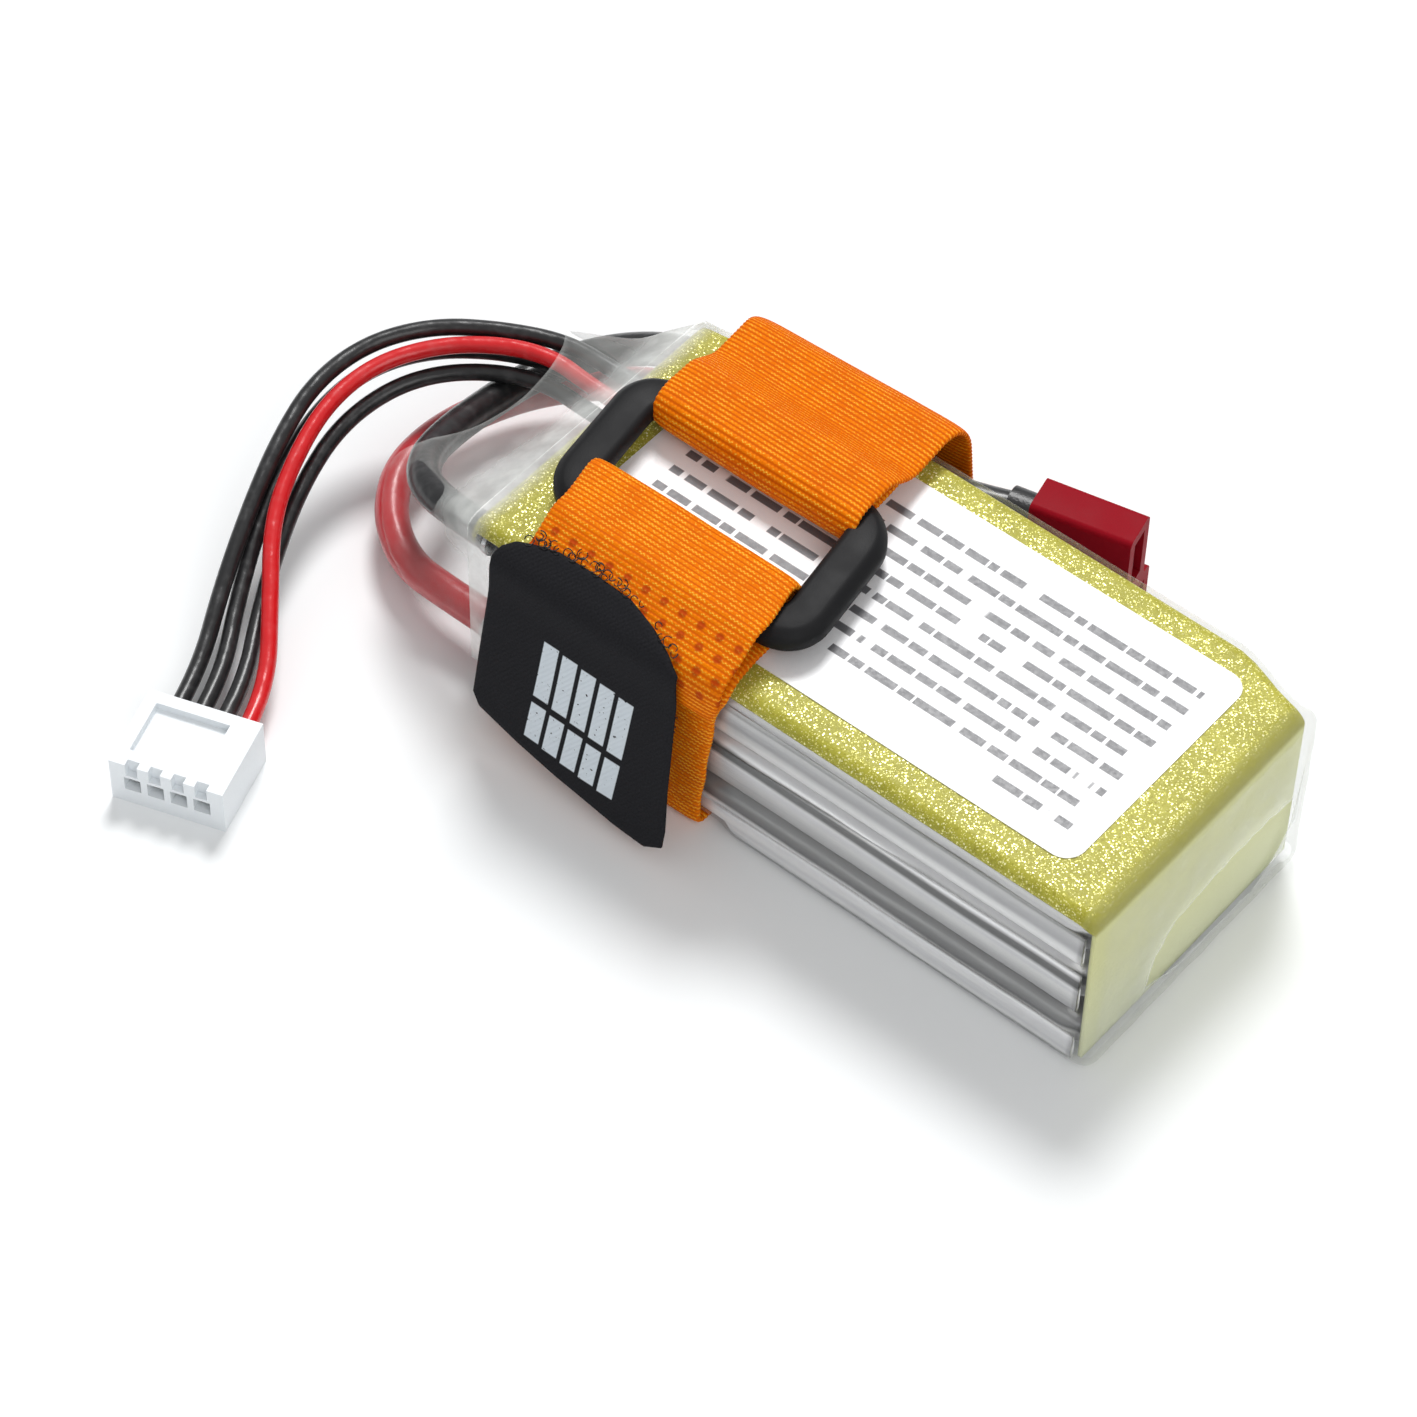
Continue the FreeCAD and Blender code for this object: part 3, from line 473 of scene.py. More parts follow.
def make_cord(node, route, wide, skin_slot):
    """A wire or lead, as a round curve along its route."""
    curve = bpy.data.curves.new(node + "_cord", "CURVE")
    curve.dimensions = "3D"
    line = curve.splines.new("NURBS")
    line.points.add(len(route) - 1)
    for point, corner in zip(line.points, route):
        point.co = (*at(*corner), 1.0)
    line.order_u = 3
    line.use_endpoint_u = True
    line.resolution_u = 14
    curve.bevel_depth = wide / 2 * MM
    curve.bevel_resolution = 7
    curve.use_fill_caps = True
    cord = add_object(node + "_cord", curve)
    finish_piece(cord, *skin_slot, [node])


def cord_material(name, colour, roughness, gloss):
    """Soft cable skin: glossy, with slow dents, fine grain and paler dusty patches."""
    s = Shader(name)
    place = s.place()
    dents = s.noise(place, 0.35, 2.0)
    grain = s.noise(place, 6.0, 2.0)
    dust = s.ramp(s.noise(place, 0.8, 3.0), 0.45, 0.85)
    pale = tuple(mix(c, 0.4, 0.06) for c in colour[:3]) + (1.0,)
    normal = s.bump(grain, 0.012, under=s.bump(dents, 0.25))
    s.set(
        Base_Color=s.blend(dust, colour, pale),
        Roughness=s.ramp(dust, 0.0, 1.0, roughness, roughness * 1.35),
        Normal=normal,
        Coat_Weight=gloss,
        Coat_Roughness=0.18,
    )
    return s.material


def make_cords():
    silicone_black = cord_material("silicone black", rgb(0.011, 0.011, 0.012), 0.36, 0.35)
    silicone_red = cord_material("silicone red", rgb(0.50, 0.008, 0.016), 0.36, 0.35)
    wire_black = cord_material("wire black", rgb(0.013, 0.013, 0.014), 0.34, 0.15)
    wire_red = cord_material("wire red", rgb(0.66, 0.006, 0.010), 0.30, 0.25)
    black, red = "silicone_black", "silicone_red"
    for (node, length, high, route), material, slot in zip(
        LEADS, (silicone_black, silicone_red), (black, red)
    ):
        points = route + [plug_point(BOOT_LONG, high)]
        make_cord(node, points, LEAD_WIDE, (material, "pack", slot))
    for index, (length, route) in enumerate(BALANCE_WIRES):
        material, slot = (wire_red, red) if index == 3 else (wire_black, black)
        points = route + [housing_point(index, back) for back in (6, 0)]
        make_cord(f"balance_wire_{index + 1}", points, WIRE_WIDE,
                  (material, "pack", slot))


# ---------------- pouches
FOIL_TOP = 23.0
FOIL_PAINTED_SHADE = (  # painted shade and reflection: how bright the stacked foil looks, by height
    (0.5, 0.40), (1.2, 0.92), (3.8, 0.98), (4.3, 0.20), (5.0, 0.34), (7.6, 0.42), (9.4, 0.68),
    (11.3, 0.94), (11.8, 0.16), (12.6, 0.18), (13.1, 0.94), (16.2, 0.96), (17.3, 0.52),
    (18.7, 0.58), (19.0, 0.32), (19.5, 0.62), (21.2, 0.70), (FOIL_TOP, 0.45),
)
CELL_FRONT, CELL_REAR, CELL_THICK, CELL_HALF = 37.4, -33.4, 7.1, 16.75
CELL_LEVELS = (0.3, 7.6, 14.9)
CELL_STEPS = 90
SEAT_EDGE, SEAT_DEEP = -5.1, 1.25
SEAL_OUTER = 17.08
# for the bottom, middle and top pouch: the seal's foot, its height at both ends, and its lean
SEAL_FOOT, SEAL_REAR_HIGH = (0.35, 0.55, 0.5), (3.1, 4.4, 4.9)
SEAL_FRONT_HIGH, SEAL_LEAN = (3.6, 5.9, 4.3), (0.18, 0.26, 0.30)


def foil_material():
    """Laminate foil: streaks along the pack, soft creases, small dents, and bands of painted shade
    and reflection by height.
    """
    s = Shader("pouch foil")
    streaks = s.noise(s.place((0.012, 0.9, 1.1)), 1.0, 2.0)
    dents = s.noise(s.place((0.06, 0.4, 0.4)), 1.0, 2.0)
    crinkle = s.noise(s.place((0.25, 1.2, 1.2)), 1.0, 3.0)
    height = s.parts(s.place())[2]
    wander = s.noise(s.place((0.05, 0.05, 0.05)), 1.0, 1.0)
    lifted = s.math("ADD", height, s.math("MULTIPLY_ADD", wander, 0.7, -0.35))
    # painted shade and reflection: the foil's colour brightens and darkens in bands by height
    painted_bands = s.stops(s.math("DIVIDE", lifted, FOIL_TOP), [
        (level / FOIL_TOP, rgb(painted_shade, painted_shade, painted_shade)) for level, painted_shade in FOIL_PAINTED_SHADE
    ])
    streaked = s.blend(s.ramp(streaks, 0.34, 0.60), rgb(0.84, 0.84, 0.86), rgb(1.0, 1.0, 1.0))
    s.set(
        Metallic=0.55,
        Base_Color=s.blend(1.0, painted_bands, streaked, "MULTIPLY"),
        Roughness=s.ramp(dents, 0.3, 0.7, 0.30, 0.42),
        Normal=s.bump(crinkle, 0.012, under=s.bump(dents, 0.10)),
    )
    return s.material


def seat_lift(x, index):
    """How far the strap's seat presses up the underside of the lowest pouch."""
    if index:
        return 0.0
    return SEAT_DEEP * (1 - smooth_step(SEAT_EDGE - 0.6, SEAT_EDGE + 0.5, x))


def pouch_section(level, x, index):
    """(x, y, z) round a pouch: crowned faces, soft shoulders, sides pulled in between."""
    taper = 1 - smooth_step(-0.2, 2.2, min(x - CELL_REAR, CELL_FRONT - x))
    low = level + taper * 1.2 + seat_lift(x, index)
    high = level + CELL_THICK - taper * 1.2
    points = []
    for step in range(72):
        angle = TURN * step / 72
        cy, cz = math.cos(angle), math.sin(angle)
        y = math.copysign(abs(cy) ** 0.36, cy) * (CELL_HALF - taper * 0.6)
        z = mix(low, high, 0.5 + 0.5 * math.copysign(abs(cz) ** 0.42, cz))
        y -= math.copysign(0.10, y) * math.exp(-((z - level - 3.6) / 1.6) ** 2)
        if abs(y) > 14:
            y += math.copysign(0.10, y) * rough(x, z * 3, index * 9 + y, 6.0)
        points.append((x, y, z))
    return points


def make_pouches(foil):
    """Each pouch with its two side seals, folded up against its sides."""
    for index, node in enumerate(("bottom", "middle", "top")):
        level = CELL_LEVELS[index]
        points, faces = [], []
        add_tube(points, faces, [
            pouch_section(level, mix(CELL_REAR, CELL_FRONT, i / CELL_STEPS), index)
            for i in range(CELL_STEPS + 1)
        ])
        for side in (-1, 1):
            add_tube(points, faces, [
                seal_section(
                    level, mix(CELL_REAR + 0.4, CELL_FRONT - 0.25, i / CELL_STEPS), index, side
                )
                for i in range(CELL_STEPS + 1)
            ])
        pouch = make_mesh(f"pouch_{node}", points, faces)
        finish_piece(pouch, foil, "pack", "pouch_foil", [f"cell_{node}"])


def seal_section(level, x, index, side):
    """(x, y, z) round a folded side seal, whose upper edge wanders along the pack."""
    low = level + SEAL_FOOT[index] + seat_lift(x, index)
    rise = table(((-33, SEAL_REAR_HIGH[index]), (37, SEAL_FRONT_HIGH[index])), x)
    high = level + rise + 0.12 * rough(x, side, index * 7, 9.0)
    lean = SEAL_LEAN[index]
    outer = SEAL_OUTER + 0.05 * rough(x, side * 5, index, 7.0)
    shape = (
        (outer - 0.55, low + 0.15), (outer - 0.25, low), (outer - 0.06, low + 0.10),
        (outer, low + 0.45), (outer - lean * 0.3, mix(low, high, 0.5)),
        (outer - lean, high - 0.12), (outer - lean - 0.10, high),
        (outer - lean - 0.28, high - 0.08), (outer - 0.60, mix(low, high, 0.5)),
    )
    points = [(x, side * y, z) for y, z in shape]
    return points if side < 0 else points[::-1]


# ---------------- card and label
CARD_TOP, CARD_HALF, CARD_FRONT, CARD_REAR = 22.46, 16.95, 38.4, -38.5
EDGE_ROUND, CREASE = 1.3, 2.3  # radii of the long edges and of the bend over the front end
CARD_THICK, CARD_FOOT = 0.45, 1.2
REAR_FOLD = ((0.0, 1.7), (0.0, 1.0), (0.08, 0.45), (0.35, 0.12))  # (ahead of the rear, down)


def card_material():
    """Glitter card: flakes that each catch the light their own way, finer and plainer in front,
    with a painted glint colour and a faint painted glow on the bright flakes and painted shade
    along the front crease.
    """
    s = Shader("glitter card")
    place = s.place()
    x, _, z = s.parts(place)
    flakes = s.node("TexVoronoi", {"Vector": place, "Scale": 4.4})
    fine = s.node("TexVoronoi", {"Vector": place, "Scale": 7.6})
    red, green, blue = s.colours(flakes.outputs["Color"])
    lit = s.product(s.ramp(red, 0.72, 0.86), s.ramp(flakes.outputs["Distance"], 0.55, 0.30))
    small = s.colours(fine.outputs["Color"])[1]
    dots = s.product(s.ramp(small, 0.72, 0.90), s.ramp(fine.outputs["Distance"], 0.50, 0.30))
    front = s.ramp(x, 42.2, 43.3)  # the plain face over the front end
    # painted shade: the card darkened along its bend over the front end
    crease_painted_shade = s.product(s.ramp(x, 41.9, 43.0), s.ramp(z, 19.9, 20.9))
    plain = s.math("SUBTRACT", 1.0, front)
    flake_gloss_and_painted_glint = s.product(s.math("MAXIMUM", lit, s.product(dots, 0.75)), plain)
    cloud = s.noise(place, 0.22, 3.0)
    under = s.blend(s.ramp(cloud, 0.3, 0.7), rgb(0.39, 0.365, 0.028), rgb(0.47, 0.440, 0.045))
    deep = s.blend(s.ramp(blue, 0.0, 0.35), rgb(0.36, 0.330, 0.026), under)
    face = s.blend(s.ramp(z, 1.0, 20.0), rgb(0.68, 0.70, 0.46), rgb(0.66, 0.66, 0.30))
    base = s.blend(crease_painted_shade, s.blend(front, deep, face), rgb(0.36, 0.34, 0.05))
    # painted highlight: bright flakes get a pale glint colour and a faint glow, on top of their
    # real gloss and tilt
    painted_glint_colour = s.blend(green, rgb(0.80, 0.75, 0.18), rgb(0.96, 0.94, 0.55))
    tilt = s.vector("SUBTRACT", {0: flakes.outputs["Color"], 1: (0.5, 0.5, 0.5)})
    lean = s.vector("SCALE", {0: tilt, "Scale": 0.14})
    leaned = s.vector("ADD", {0: s.node("NewGeometry").outputs["Normal"], 1: lean})
    s.set(
        Base_Color=s.blend(flake_gloss_and_painted_glint, base, painted_glint_colour),
        Metallic=s.product(flake_gloss_and_painted_glint, 0.35),
        Roughness=s.ramp(flake_gloss_and_painted_glint, 0.0, 1.0, 0.50, 0.25),
        Specular_IOR_Level=0.25,
        Normal=s.vector("NORMALIZE", {0: leaned}),
        # painted glow: the glint colour shines from the bright flakes
        Emission_Color=painted_glint_colour,
        Emission_Strength=s.product(flake_gloss_and_painted_glint, 0.20),
    )
    return s.material


def far_bulge(x):
    """How far the card and the film over it stand out past the pack on its far side."""
    return 2.5 * smooth_step(37.6, 28.0, x) * mix(0.75, 1.0, smooth_step(-38.5, -33.0, x))


def card_height(y, x):
    """The card's upper face: flat, rounded down along its two long edges."""
    over = abs(y) - (CARD_HALF - EDGE_ROUND)
    drop = 0.0
    if over > 0:
        drop = EDGE_ROUND - math.sqrt(max(0.0, EDGE_ROUND**2 - min(over, EDGE_ROUND) ** 2))
    return CARD_TOP - drop + 0.03 * rough(x, y, 0, 9.0)


def make_card(material):
    """Card over the top, bent down over the front end, with a short fold at the rear."""
    across = [math.sin(math.pi / 2 * mix(-1, 1, k / 80)) * CARD_HALF for k in range(81)]
    flat = [mix(CARD_REAR + 0.8, CARD_FRONT - CREASE, i / 40) for i in range(41)]
    rows = [(x, 0.0) for x in flat]
    for step in range(1, 11):
        angle = math.radians(9 * step)
        bend = CREASE * (1 - math.cos(angle))
        rows.append((CARD_FRONT - CREASE + CREASE * math.sin(angle), bend))
    for step in range(1, 25):
        rows.append((CARD_FRONT, mix(CREASE, CARD_TOP - CARD_FOOT, step / 24)))
    rows = [(CARD_REAR + ahead, down) for ahead, down in REAR_FOLD] + rows
    rings = []
    for x, down in rows:
        ring = []
        for y in across:
            front = smooth_step(0.0, CREASE, down) if x > 0 else 0.0
            flat_part = mix(card_height(y, x), CARD_TOP, front)
            swell = math.sin(math.pi * min(1.0, down / CARD_TOP))
            bow = 0.25 * front * ((1 - (y / CARD_HALF) ** 2) * swell - 1)
            out = far_bulge(x) * smooth_step(9.0, CARD_HALF, y)
            ring.append((x + bow, y * (1 - 0.022 * front) + out, flat_part - down))
        rings.append(ring)
    card = skin("glitter_card_sheet", rings, loop=False)
    thick = card.modifiers.new("thickness", "SOLIDIFY")
    thick.thickness = CARD_THICK * MM
    thick.offset = 1
    finish_piece(card, material, "pack", "glitter_card", ["glitter_card"])


DASH_PITCH, DASH_LOW, DASH_ROWS = 2.6, -10.6, 9
DASH_REAR, DASH_FRONT, DASH_FIRST_FRONT = -22.5, 35.2, 26.1  # the first row is shorter


def label_material():
    """Coated paper with rows of plain grey dashes in place of the small print."""
    s = Shader("label paper")
    place = s.place()
    x, y, _ = s.parts(place)
    row = s.math("DIVIDE", s.math("SUBTRACT", y, DASH_LOW), DASH_PITCH)
    index = s.math("FLOOR", row)
    seed = s.product(index, 17.3)
    line = s.node("CombineXYZ", {"X": s.product(x, 0.23), "Y": seed}).outputs[0]
    warp = s.noise(line, 1.0, 1.0)
    dash = s.math("FRACT", s.math("ADD", s.product(x, 0.30), s.product(warp, 2.6)))
    first = s.math("COMPARE", index, 0.0, 0.1)
    cut = s.product(first, s.ramp(x, DASH_FIRST_FRONT, DASH_FIRST_FRONT - 0.1))
    ink = s.product(
        s.band(s.math("FRACT", row), 0.24, 0.64, 0.04), s.band(dash, 0.08, 0.92, 0.03),
        s.ramp(x, DASH_FRONT, DASH_FRONT - 0.1), s.math("SUBTRACT", 1.0, cut),
        s.band(row, -0.02, DASH_ROWS + 0.02, 0.04), s.ramp(x, DASH_REAR, DASH_REAR + 0.1),
    )
    fibre = s.noise(place, 2.5, 3.0)
    paper = s.blend(fibre, rgb(0.90, 0.905, 0.92), rgb(0.96, 0.96, 0.97))
    s.set(
        Base_Color=s.blend(ink, paper, rgb(0.13, 0.13, 0.14)),
        Roughness=s.ramp(fibre, 0.3, 0.7, 0.34, 0.46),
        Normal=s.bump(fibre, 0.01),
    )
    return s.material


# ---------------- film
def film_material():
    """Clear shrink film: glossy, nearly invisible face on, milky where it is frosted, with a
    painted sheen that whitens it towards grazing angles.
    """
    s = Shader("shrink film")
    place = s.place()
    frost = s.node("Attribute", attribute_name="frost").outputs["Fac"]
    cloud = s.noise(place, 0.35, 3.0)
    wrinkles = s.noise(place, 0.9, 3.0)
    # painted sheen: the film turns more opaque white towards grazing angles, in place of its
    # reflection
    edge = s.node("LayerWeight", {"Blend": 0.32}).outputs["Fresnel"]
    haze = s.product(frost, s.ramp(cloud, 0.25, 0.75, 0.75, 1.2))
    s.set(
        Base_Color=rgb(0.88, 0.90, 0.87),
        Alpha=s.math("ADD", s.math("MULTIPLY_ADD", edge, 0.24, 0.008), haze, clamp=True),
        Roughness=s.ramp(frost, 0.0, 0.6, 0.10, 0.42),
        Normal=s.bump(wrinkles, 0.03),
        Specular_IOR_Level=0.8,
    )
    return s.material


FILM_HALF, FILM_TOP, FILM_FRONT, FILM_REAR = 17.4, 22.9, 38.7, -38.7
FILM_ROUND, FILM_COUNT = 1.5, 176
FILM_SHOULDER = 1.0  # from here the film turns in over the front end
LENS = (  # (y, z) round the opening that the film leaves on the front end
    (3.5, 1.7), (10.0, 1.7), (14.9, 3.4), (16.3, 7.0), (15.4, 10.8), (9.3, 11.6),
    (3.1, 11.2), (-3.6, 10.4), (-6.6, 7.6), (-7.6, 3.9), (-3.0, 2.2),
)


def upper_far_edge(y, z):
    """1 on the film's upper far edge, and 0 away from it."""
    return smooth_step(9.0, 17.0, y) * smooth_step(18.4, 20.6, z)


def film_ring(x):
    """A ring of film points at x, pressed in where the strap passes below."""
    ring = []
    for y, z, _ in rounded_box(FILM_HALF, 0.0, FILM_TOP, FILM_ROUND, FILM_COUNT):
        if z < 3:
            seat = 1 - smooth_step(SEAT_EDGE - 1.2, SEAT_EDGE + 0.3, x)
            z = max(z, mix(z, SEAT_DEEP + z * 0.6, seat))
        if z > 1.5:
            ripple = 0.05 * rough(x, y * 2, z * 2, 5.0) + 0.05 * rough(x * 0.3, y * 3, z * 3, 4.0)
            y += math.copysign(ripple, y) if abs(y) > 17 else 0.0
            y += far_bulge(x) * upper_far_edge(y, z)
        ring.append((x, y, z))
    return ring


def make_sleeve(material):
    """The film round the pack, frosted at the rear, and turned in round the opening in front."""
    rings = []
    frost = []
    for i in range(91):
        x = mix(FILM_REAR, FILM_FRONT - FILM_SHOULDER, i / 90)
        ring = film_ring(x)
        rings.append(ring)
        for _, y, z in ring:
            side = smooth_step(15.5, 17.0, abs(y)) * smooth_step(21.5, 20.0, z)
            frost.append(max(
                0.62 * smooth_step(-34.5, -38.0, x) * side, 0.42 * smooth_step(-35.6, -38.6, x)
            ))
    lens = even([Vector((y, z, 0)) for y, z in LENS], FILM_COUNT, closed=True)
    # the lens starts where the ring does, under the middle of the pack
    first = min(range(FILM_COUNT), key=lambda k: (lens[k].x - 0.5) ** 2 + 4 * (lens[k].y - 1) ** 2)
    lens = lens[first:] + lens[:first]
    for k in range(1, 7):
        sine, cosine = math.sin(math.radians(15 * k)), math.cos(math.radians(15 * k))
        inset = FILM_SHOULDER * (1 - cosine)
        out = []
        for x, y, z in film_ring(FILM_FRONT - FILM_SHOULDER + 1.55 * sine):
            flare = 0.35 * smooth_step(2.0, 16.0, y) * sine
            out.append((
                x + 0.12 * rough(y, z, 0, 3.0) * sine,
                y * (1 - inset / FILM_HALF) + flare,
                mix(z, FILM_TOP / 2, inset / FILM_TOP * 1.2),
            ))
        rings.append(out)
        frost += [0.02 + 0.008 * k] * FILM_COUNT
    outer = rings[-1]
    steps = 16
    for k in range(1, steps + 1):
        share = k / steps
        dip = 0.40 * smooth_step(0.0, 0.25, share)
        rings.append([
            (
                x - dip + 0.08 * share * rough(y, z, share * 3, 3.0),
                mix(y, hole.x, share), mix(z, hole.y, share),
            )
            for (x, y, z), hole in zip(outer, lens)
        ])
        frost += [mix(0.12, 0.26, share) + 0.10 * (share > 0.97)] * FILM_COUNT
    sleeve = skin("film_sleeve", rings, frost=frost)
    finish_piece(sleeve, material, "pack", "film", ["shrink_sleeve"])


TAIL_X = -38.6
TAIL_ROOT = (  # (y, z) at TAIL_X
    (-17.40, 2.0), (-17.45, 8.0), (-17.45, 15.0), (-17.42, 20.6), (-16.6, 22.5), (-12.0, 22.9),
    (-4.0, 22.9), (6.0, 22.9), (13.5, 22.9), (16.6, 22.4), (17.42, 20.4), (17.45, 14.0),
    (17.45, 8.0), (17.40, 3.0),
)
TAIL_MOUTH = (
    (-42.5, -17.3, 2.6), (-48.2, -16.9, 6.4), (-52.4, -15.2, 9.6), (-54.6, -12.6, 12.6),
    (-54.6, -10.4, 15.2), (-52.6, -7.6, 16.6), (-50.4, -3.8, 16.6), (-49.2, 1.6, 16.7),
    (-49.4, 6.6, 17.0), (-50.6, 10.6, 16.9), (-52.6, 13.6, 15.6), (-52.2, 15.2, 13.4),
    (-48.4, 16.6, 11.6), (-43.0, 17.4, 6.0),
)


def make_tail(material):
    """The film's loose end over the leads, wrinkled, and whiter near the pack and at its lip."""
    count, steps = 150, 46
    root = spline([(TAIL_X, y, z) for y, z in TAIL_ROOT], count)
    mouth = spline(TAIL_MOUTH, count)
    rings = []
    frost = []
    for i in range(steps + 1):
        share = i / steps
        sag = 0.7 * math.sin(math.pi * share) * smooth_step(0.0, 0.5, share)
        ease = smooth_step(0.03, 0.35, share)
        ring = []
        for a, b in zip(root, mouth):
            p = a.lerp(b, share)
            top = smooth_step(14.0, 20.0, p.z)
            p.z -= sag * top
            p.y += far_bulge(FILM_REAR) * (1 - share) ** 2 * upper_far_edge(p.y, p.z)
            fold = rough(p.x * 0.55, p.y * 1.2, p.z * 0.9, 2.6)
            fold += 0.5 * rough(p.x * 0.9, p.y * 2.2, p.z * 2.0, 2.0)
            p.z += 0.10 * fold * ease * (0.3 + 0.7 * top)
            p.y += 0.12 * fold * ease * (1 - top)
            ring.append(tuple(p))
            band = 0.36 * smooth_step(0.50, 0.10, share) * top
            lip = 0.10 * smooth_step(0.94, 1.0, share)
            frost.append(0.05 + 0.10 * top + band + lip)
        rings.append(ring)
    tail = skin("film_tail", rings, loop=False, frost=frost)
    finish_piece(tail, material, "pack", "film", ["sleeve_tail"])


# ---------------- webbing
STRAP_WIDE, STRAP_THICK, STRAP_X = 25.6, 1.1, -19.6
RIB, BEAD = 0.56, 0.46  # the weave's pitch along the band and across it
STRAP_ROUTE = (
    (13.0, 23.75), (3.45, 23.75), (3.45, 27.45), (9.9, 27.45), (13.9, 25.0), (23.3, 24.9),
    (25.2, 9.0), (18.3, 3.4), (18.1, 0.55), (-18.1, 0.55), (-18.1, 23.75), (-5.35, 23.75),
    (-5.35, 27.45), (-13.3, 27.45), (-19.45, 24.6), (-19.45, 20.2),
)
STRAP_RADII = (1.84, 1.8, 3.0, 4.0, 4.6, 5.0, 3.0, 1.0, 1.0, 2.2, 1.84, 1.8, 3.0, 2.5)
TOP_SHIFT = ((-18.0, 2.0), (-12.5, 1.6), (-5.5, 0.5), (3.0, -0.1), (7.0, -0.5), (25.0, -1.6))
NEAR_SHIFT = ((1.0, -1.3), (4.0, -1.2), (9.0, -0.6), (17.0, 0.3), (23.0, 1.7))  # by height
FAR_SHIFT = -1.4


def strap_shift(y, z):
    """How far the band lies off its straight line: it runs a little askew."""
    side = table(NEAR_SHIFT, z) if y < 0 else FAR_SHIFT
    return mix(side, table(TOP_SHIFT, y), smooth_step(20.0, 23.6, z))


def webbing_material():
    """Orange webbing: ribs across with painted shade between them, glossier beads with a painted
    highlight where the warp crosses them, a few weld spots.
    """
    s = Shader("orange webbing")
    place = s.place(uv="cloth")
    u, v, _ = s.parts(place)
    rib = s.wave(s.product(v, TURN / RIB))
    shift = s.product(s.math("FLOOR", s.math("DIVIDE", v, RIB)), 0.5)
    bead = s.wave(s.product(s.math("ADD", s.math("DIVIDE", u, BEAD), shift), TURN))
    height = s.product(rib, s.math("MULTIPLY_ADD", bead, 0.6, 0.4))
    patch = s.noise(s.place((0.30, 0.30, 1.0), uv="cloth"), 1.0, 3.0)
    twinkle = s.node("TexVoronoi", {"Vector": place, "Scale": 2.4}).outputs["Color"]
    chance = s.colours(twinkle)[0]
    # painted highlight on some beads, which are also glossier, and painted shade in the gaps
    # between the ribs
    bead_gloss_and_painted_highlight = s.product(s.ramp(height, 0.50, 0.90), s.ramp(chance, 0.20, 0.7))
    ground = s.blend(s.ramp(patch, 0.3, 0.7), rgb(0.80, 0.170, 0.001), rgb(0.90, 0.225, 0.001))
    painted_shade = s.blend(s.ramp(height, 0.0, 0.4), rgb(0.62, 0.105, 0.0005), ground)
    colour = s.blend(s.product(bead_gloss_and_painted_highlight, 0.85), painted_shade, rgb(1.0, 0.60, 0.06))
    fuzz = s.noise(place, 3.0, 2.0)
    s.set(
        Base_Color=s.blend(weld_spots(s, u, v), colour, rgb(0.42, 0.035, 0.004)),
        Roughness=s.ramp(bead_gloss_and_painted_highlight, 0.0, 1.0, 0.60, 0.36),
        Normal=s.bump(height, 0.07, under=s.bump(fuzz, 0.02)),
        Specular_IOR_Level=0.05,
    )
    return s.material


WELD_PITCH, WELD_ROW = 2.3, 1.9
WELD_START, WELD_END = 2.2, 9.2  # from the webbing's end


def weld_spots(s, u, v):
    """Staggered rows of melted spots near the webbing's end."""
    row = s.math("DIVIDE", v, WELD_ROW)
    stagger = s.product(s.math("FLOOR", row), 0.5)
    lane = s.math("ADD", s.math("DIVIDE", u, WELD_PITCH), stagger)
    squares = [
        s.math("POWER", s.product(s.math("SUBTRACT", s.math("FRACT", value), 0.5), pitch), 2.0)
        for value, pitch in ((lane, WELD_PITCH), (row, WELD_ROW))
    ]
    far = s.math("SQRT", s.math("ADD", *squares))
    return s.product(s.ramp(far, 0.62, 0.30), s.band(v, WELD_START, WELD_END, 0.1), 0.75)


def make_webbing(material):
    """The strap along its route, ribbed across, with looped edges and a slight skew."""
    path = rounded_path(STRAP_ROUTE, STRAP_RADII, RIB / 4)
    half_count = 26
    rings = []
    uvs = []
    for i, (point, way) in enumerate(path):
        s = i * RIB / 4
        left = (len(path) - 1) * RIB / 4 - s
        side = Vector((-way.y, way.x))
        top = smooth_step(22.8, 24.2, point.y)
        far = smooth_step(19.0, 22.5, point.x) * smooth_step(3.0, 9.0, point.y)
        shift = strap_shift(point.x, point.y)
        weave = math.cos(TURN * s / RIB)
        rib, picot = 0.024 * weave, 0.04 * weave
        narrow = 1 - 0.10 * smooth_step(11.0, 7.0, s)  # the end sewn under the far bar
        ring = []
        for k in range(half_count * 2):
            upper = k < half_count
            j = k if upper else 2 * half_count - 1 - k
            reach = math.pi / 2 * 0.98
            across = math.sin(reach * mix(-1, 1, j / (half_count - 1))) / math.sin(reach)
            body = (1 - abs(across) ** 10) ** 0.5 if abs(across) < 1 else 0.0
            w = (0.30 + 0.70 * body) * (STRAP_THICK / 2 - 0.05) + rib * (0.35 + 0.65 * body)
            w = w if upper else -w
            picot_out = picot * smooth_step(0.9, 1.0, abs(across))
            u = across * (STRAP_WIDE / 2 + picot_out) * narrow
            wave = 0.10 * rough(u, s, 0, 7.0) * top
            bow = far * (0.55 * across - 0.25)
            spot = point + side * (w + wave)
            ring.append((STRAP_X + shift + u, spot.x + bow, spot.y))
            uvs.append((u + shift + STRAP_X, left))
        rings.append(ring)
    strap = skin("webbing_band", rings, caps=True, uvs=uvs)
    finish_piece(strap, material, "strap", "webbing_orange", ["strap_webbing"])


# ---------------- ring
RING_LONG, RING_WIDE, RING_X, RING_Y, RING_LOW = 33.8, 20.4, -19.2, -2.1, 24.4
RING_END, RING_BAR, RING_ROUND, RING_CORNER = 4.7, 3.8, 5.5, 1.5
RING_SKEW = -0.15


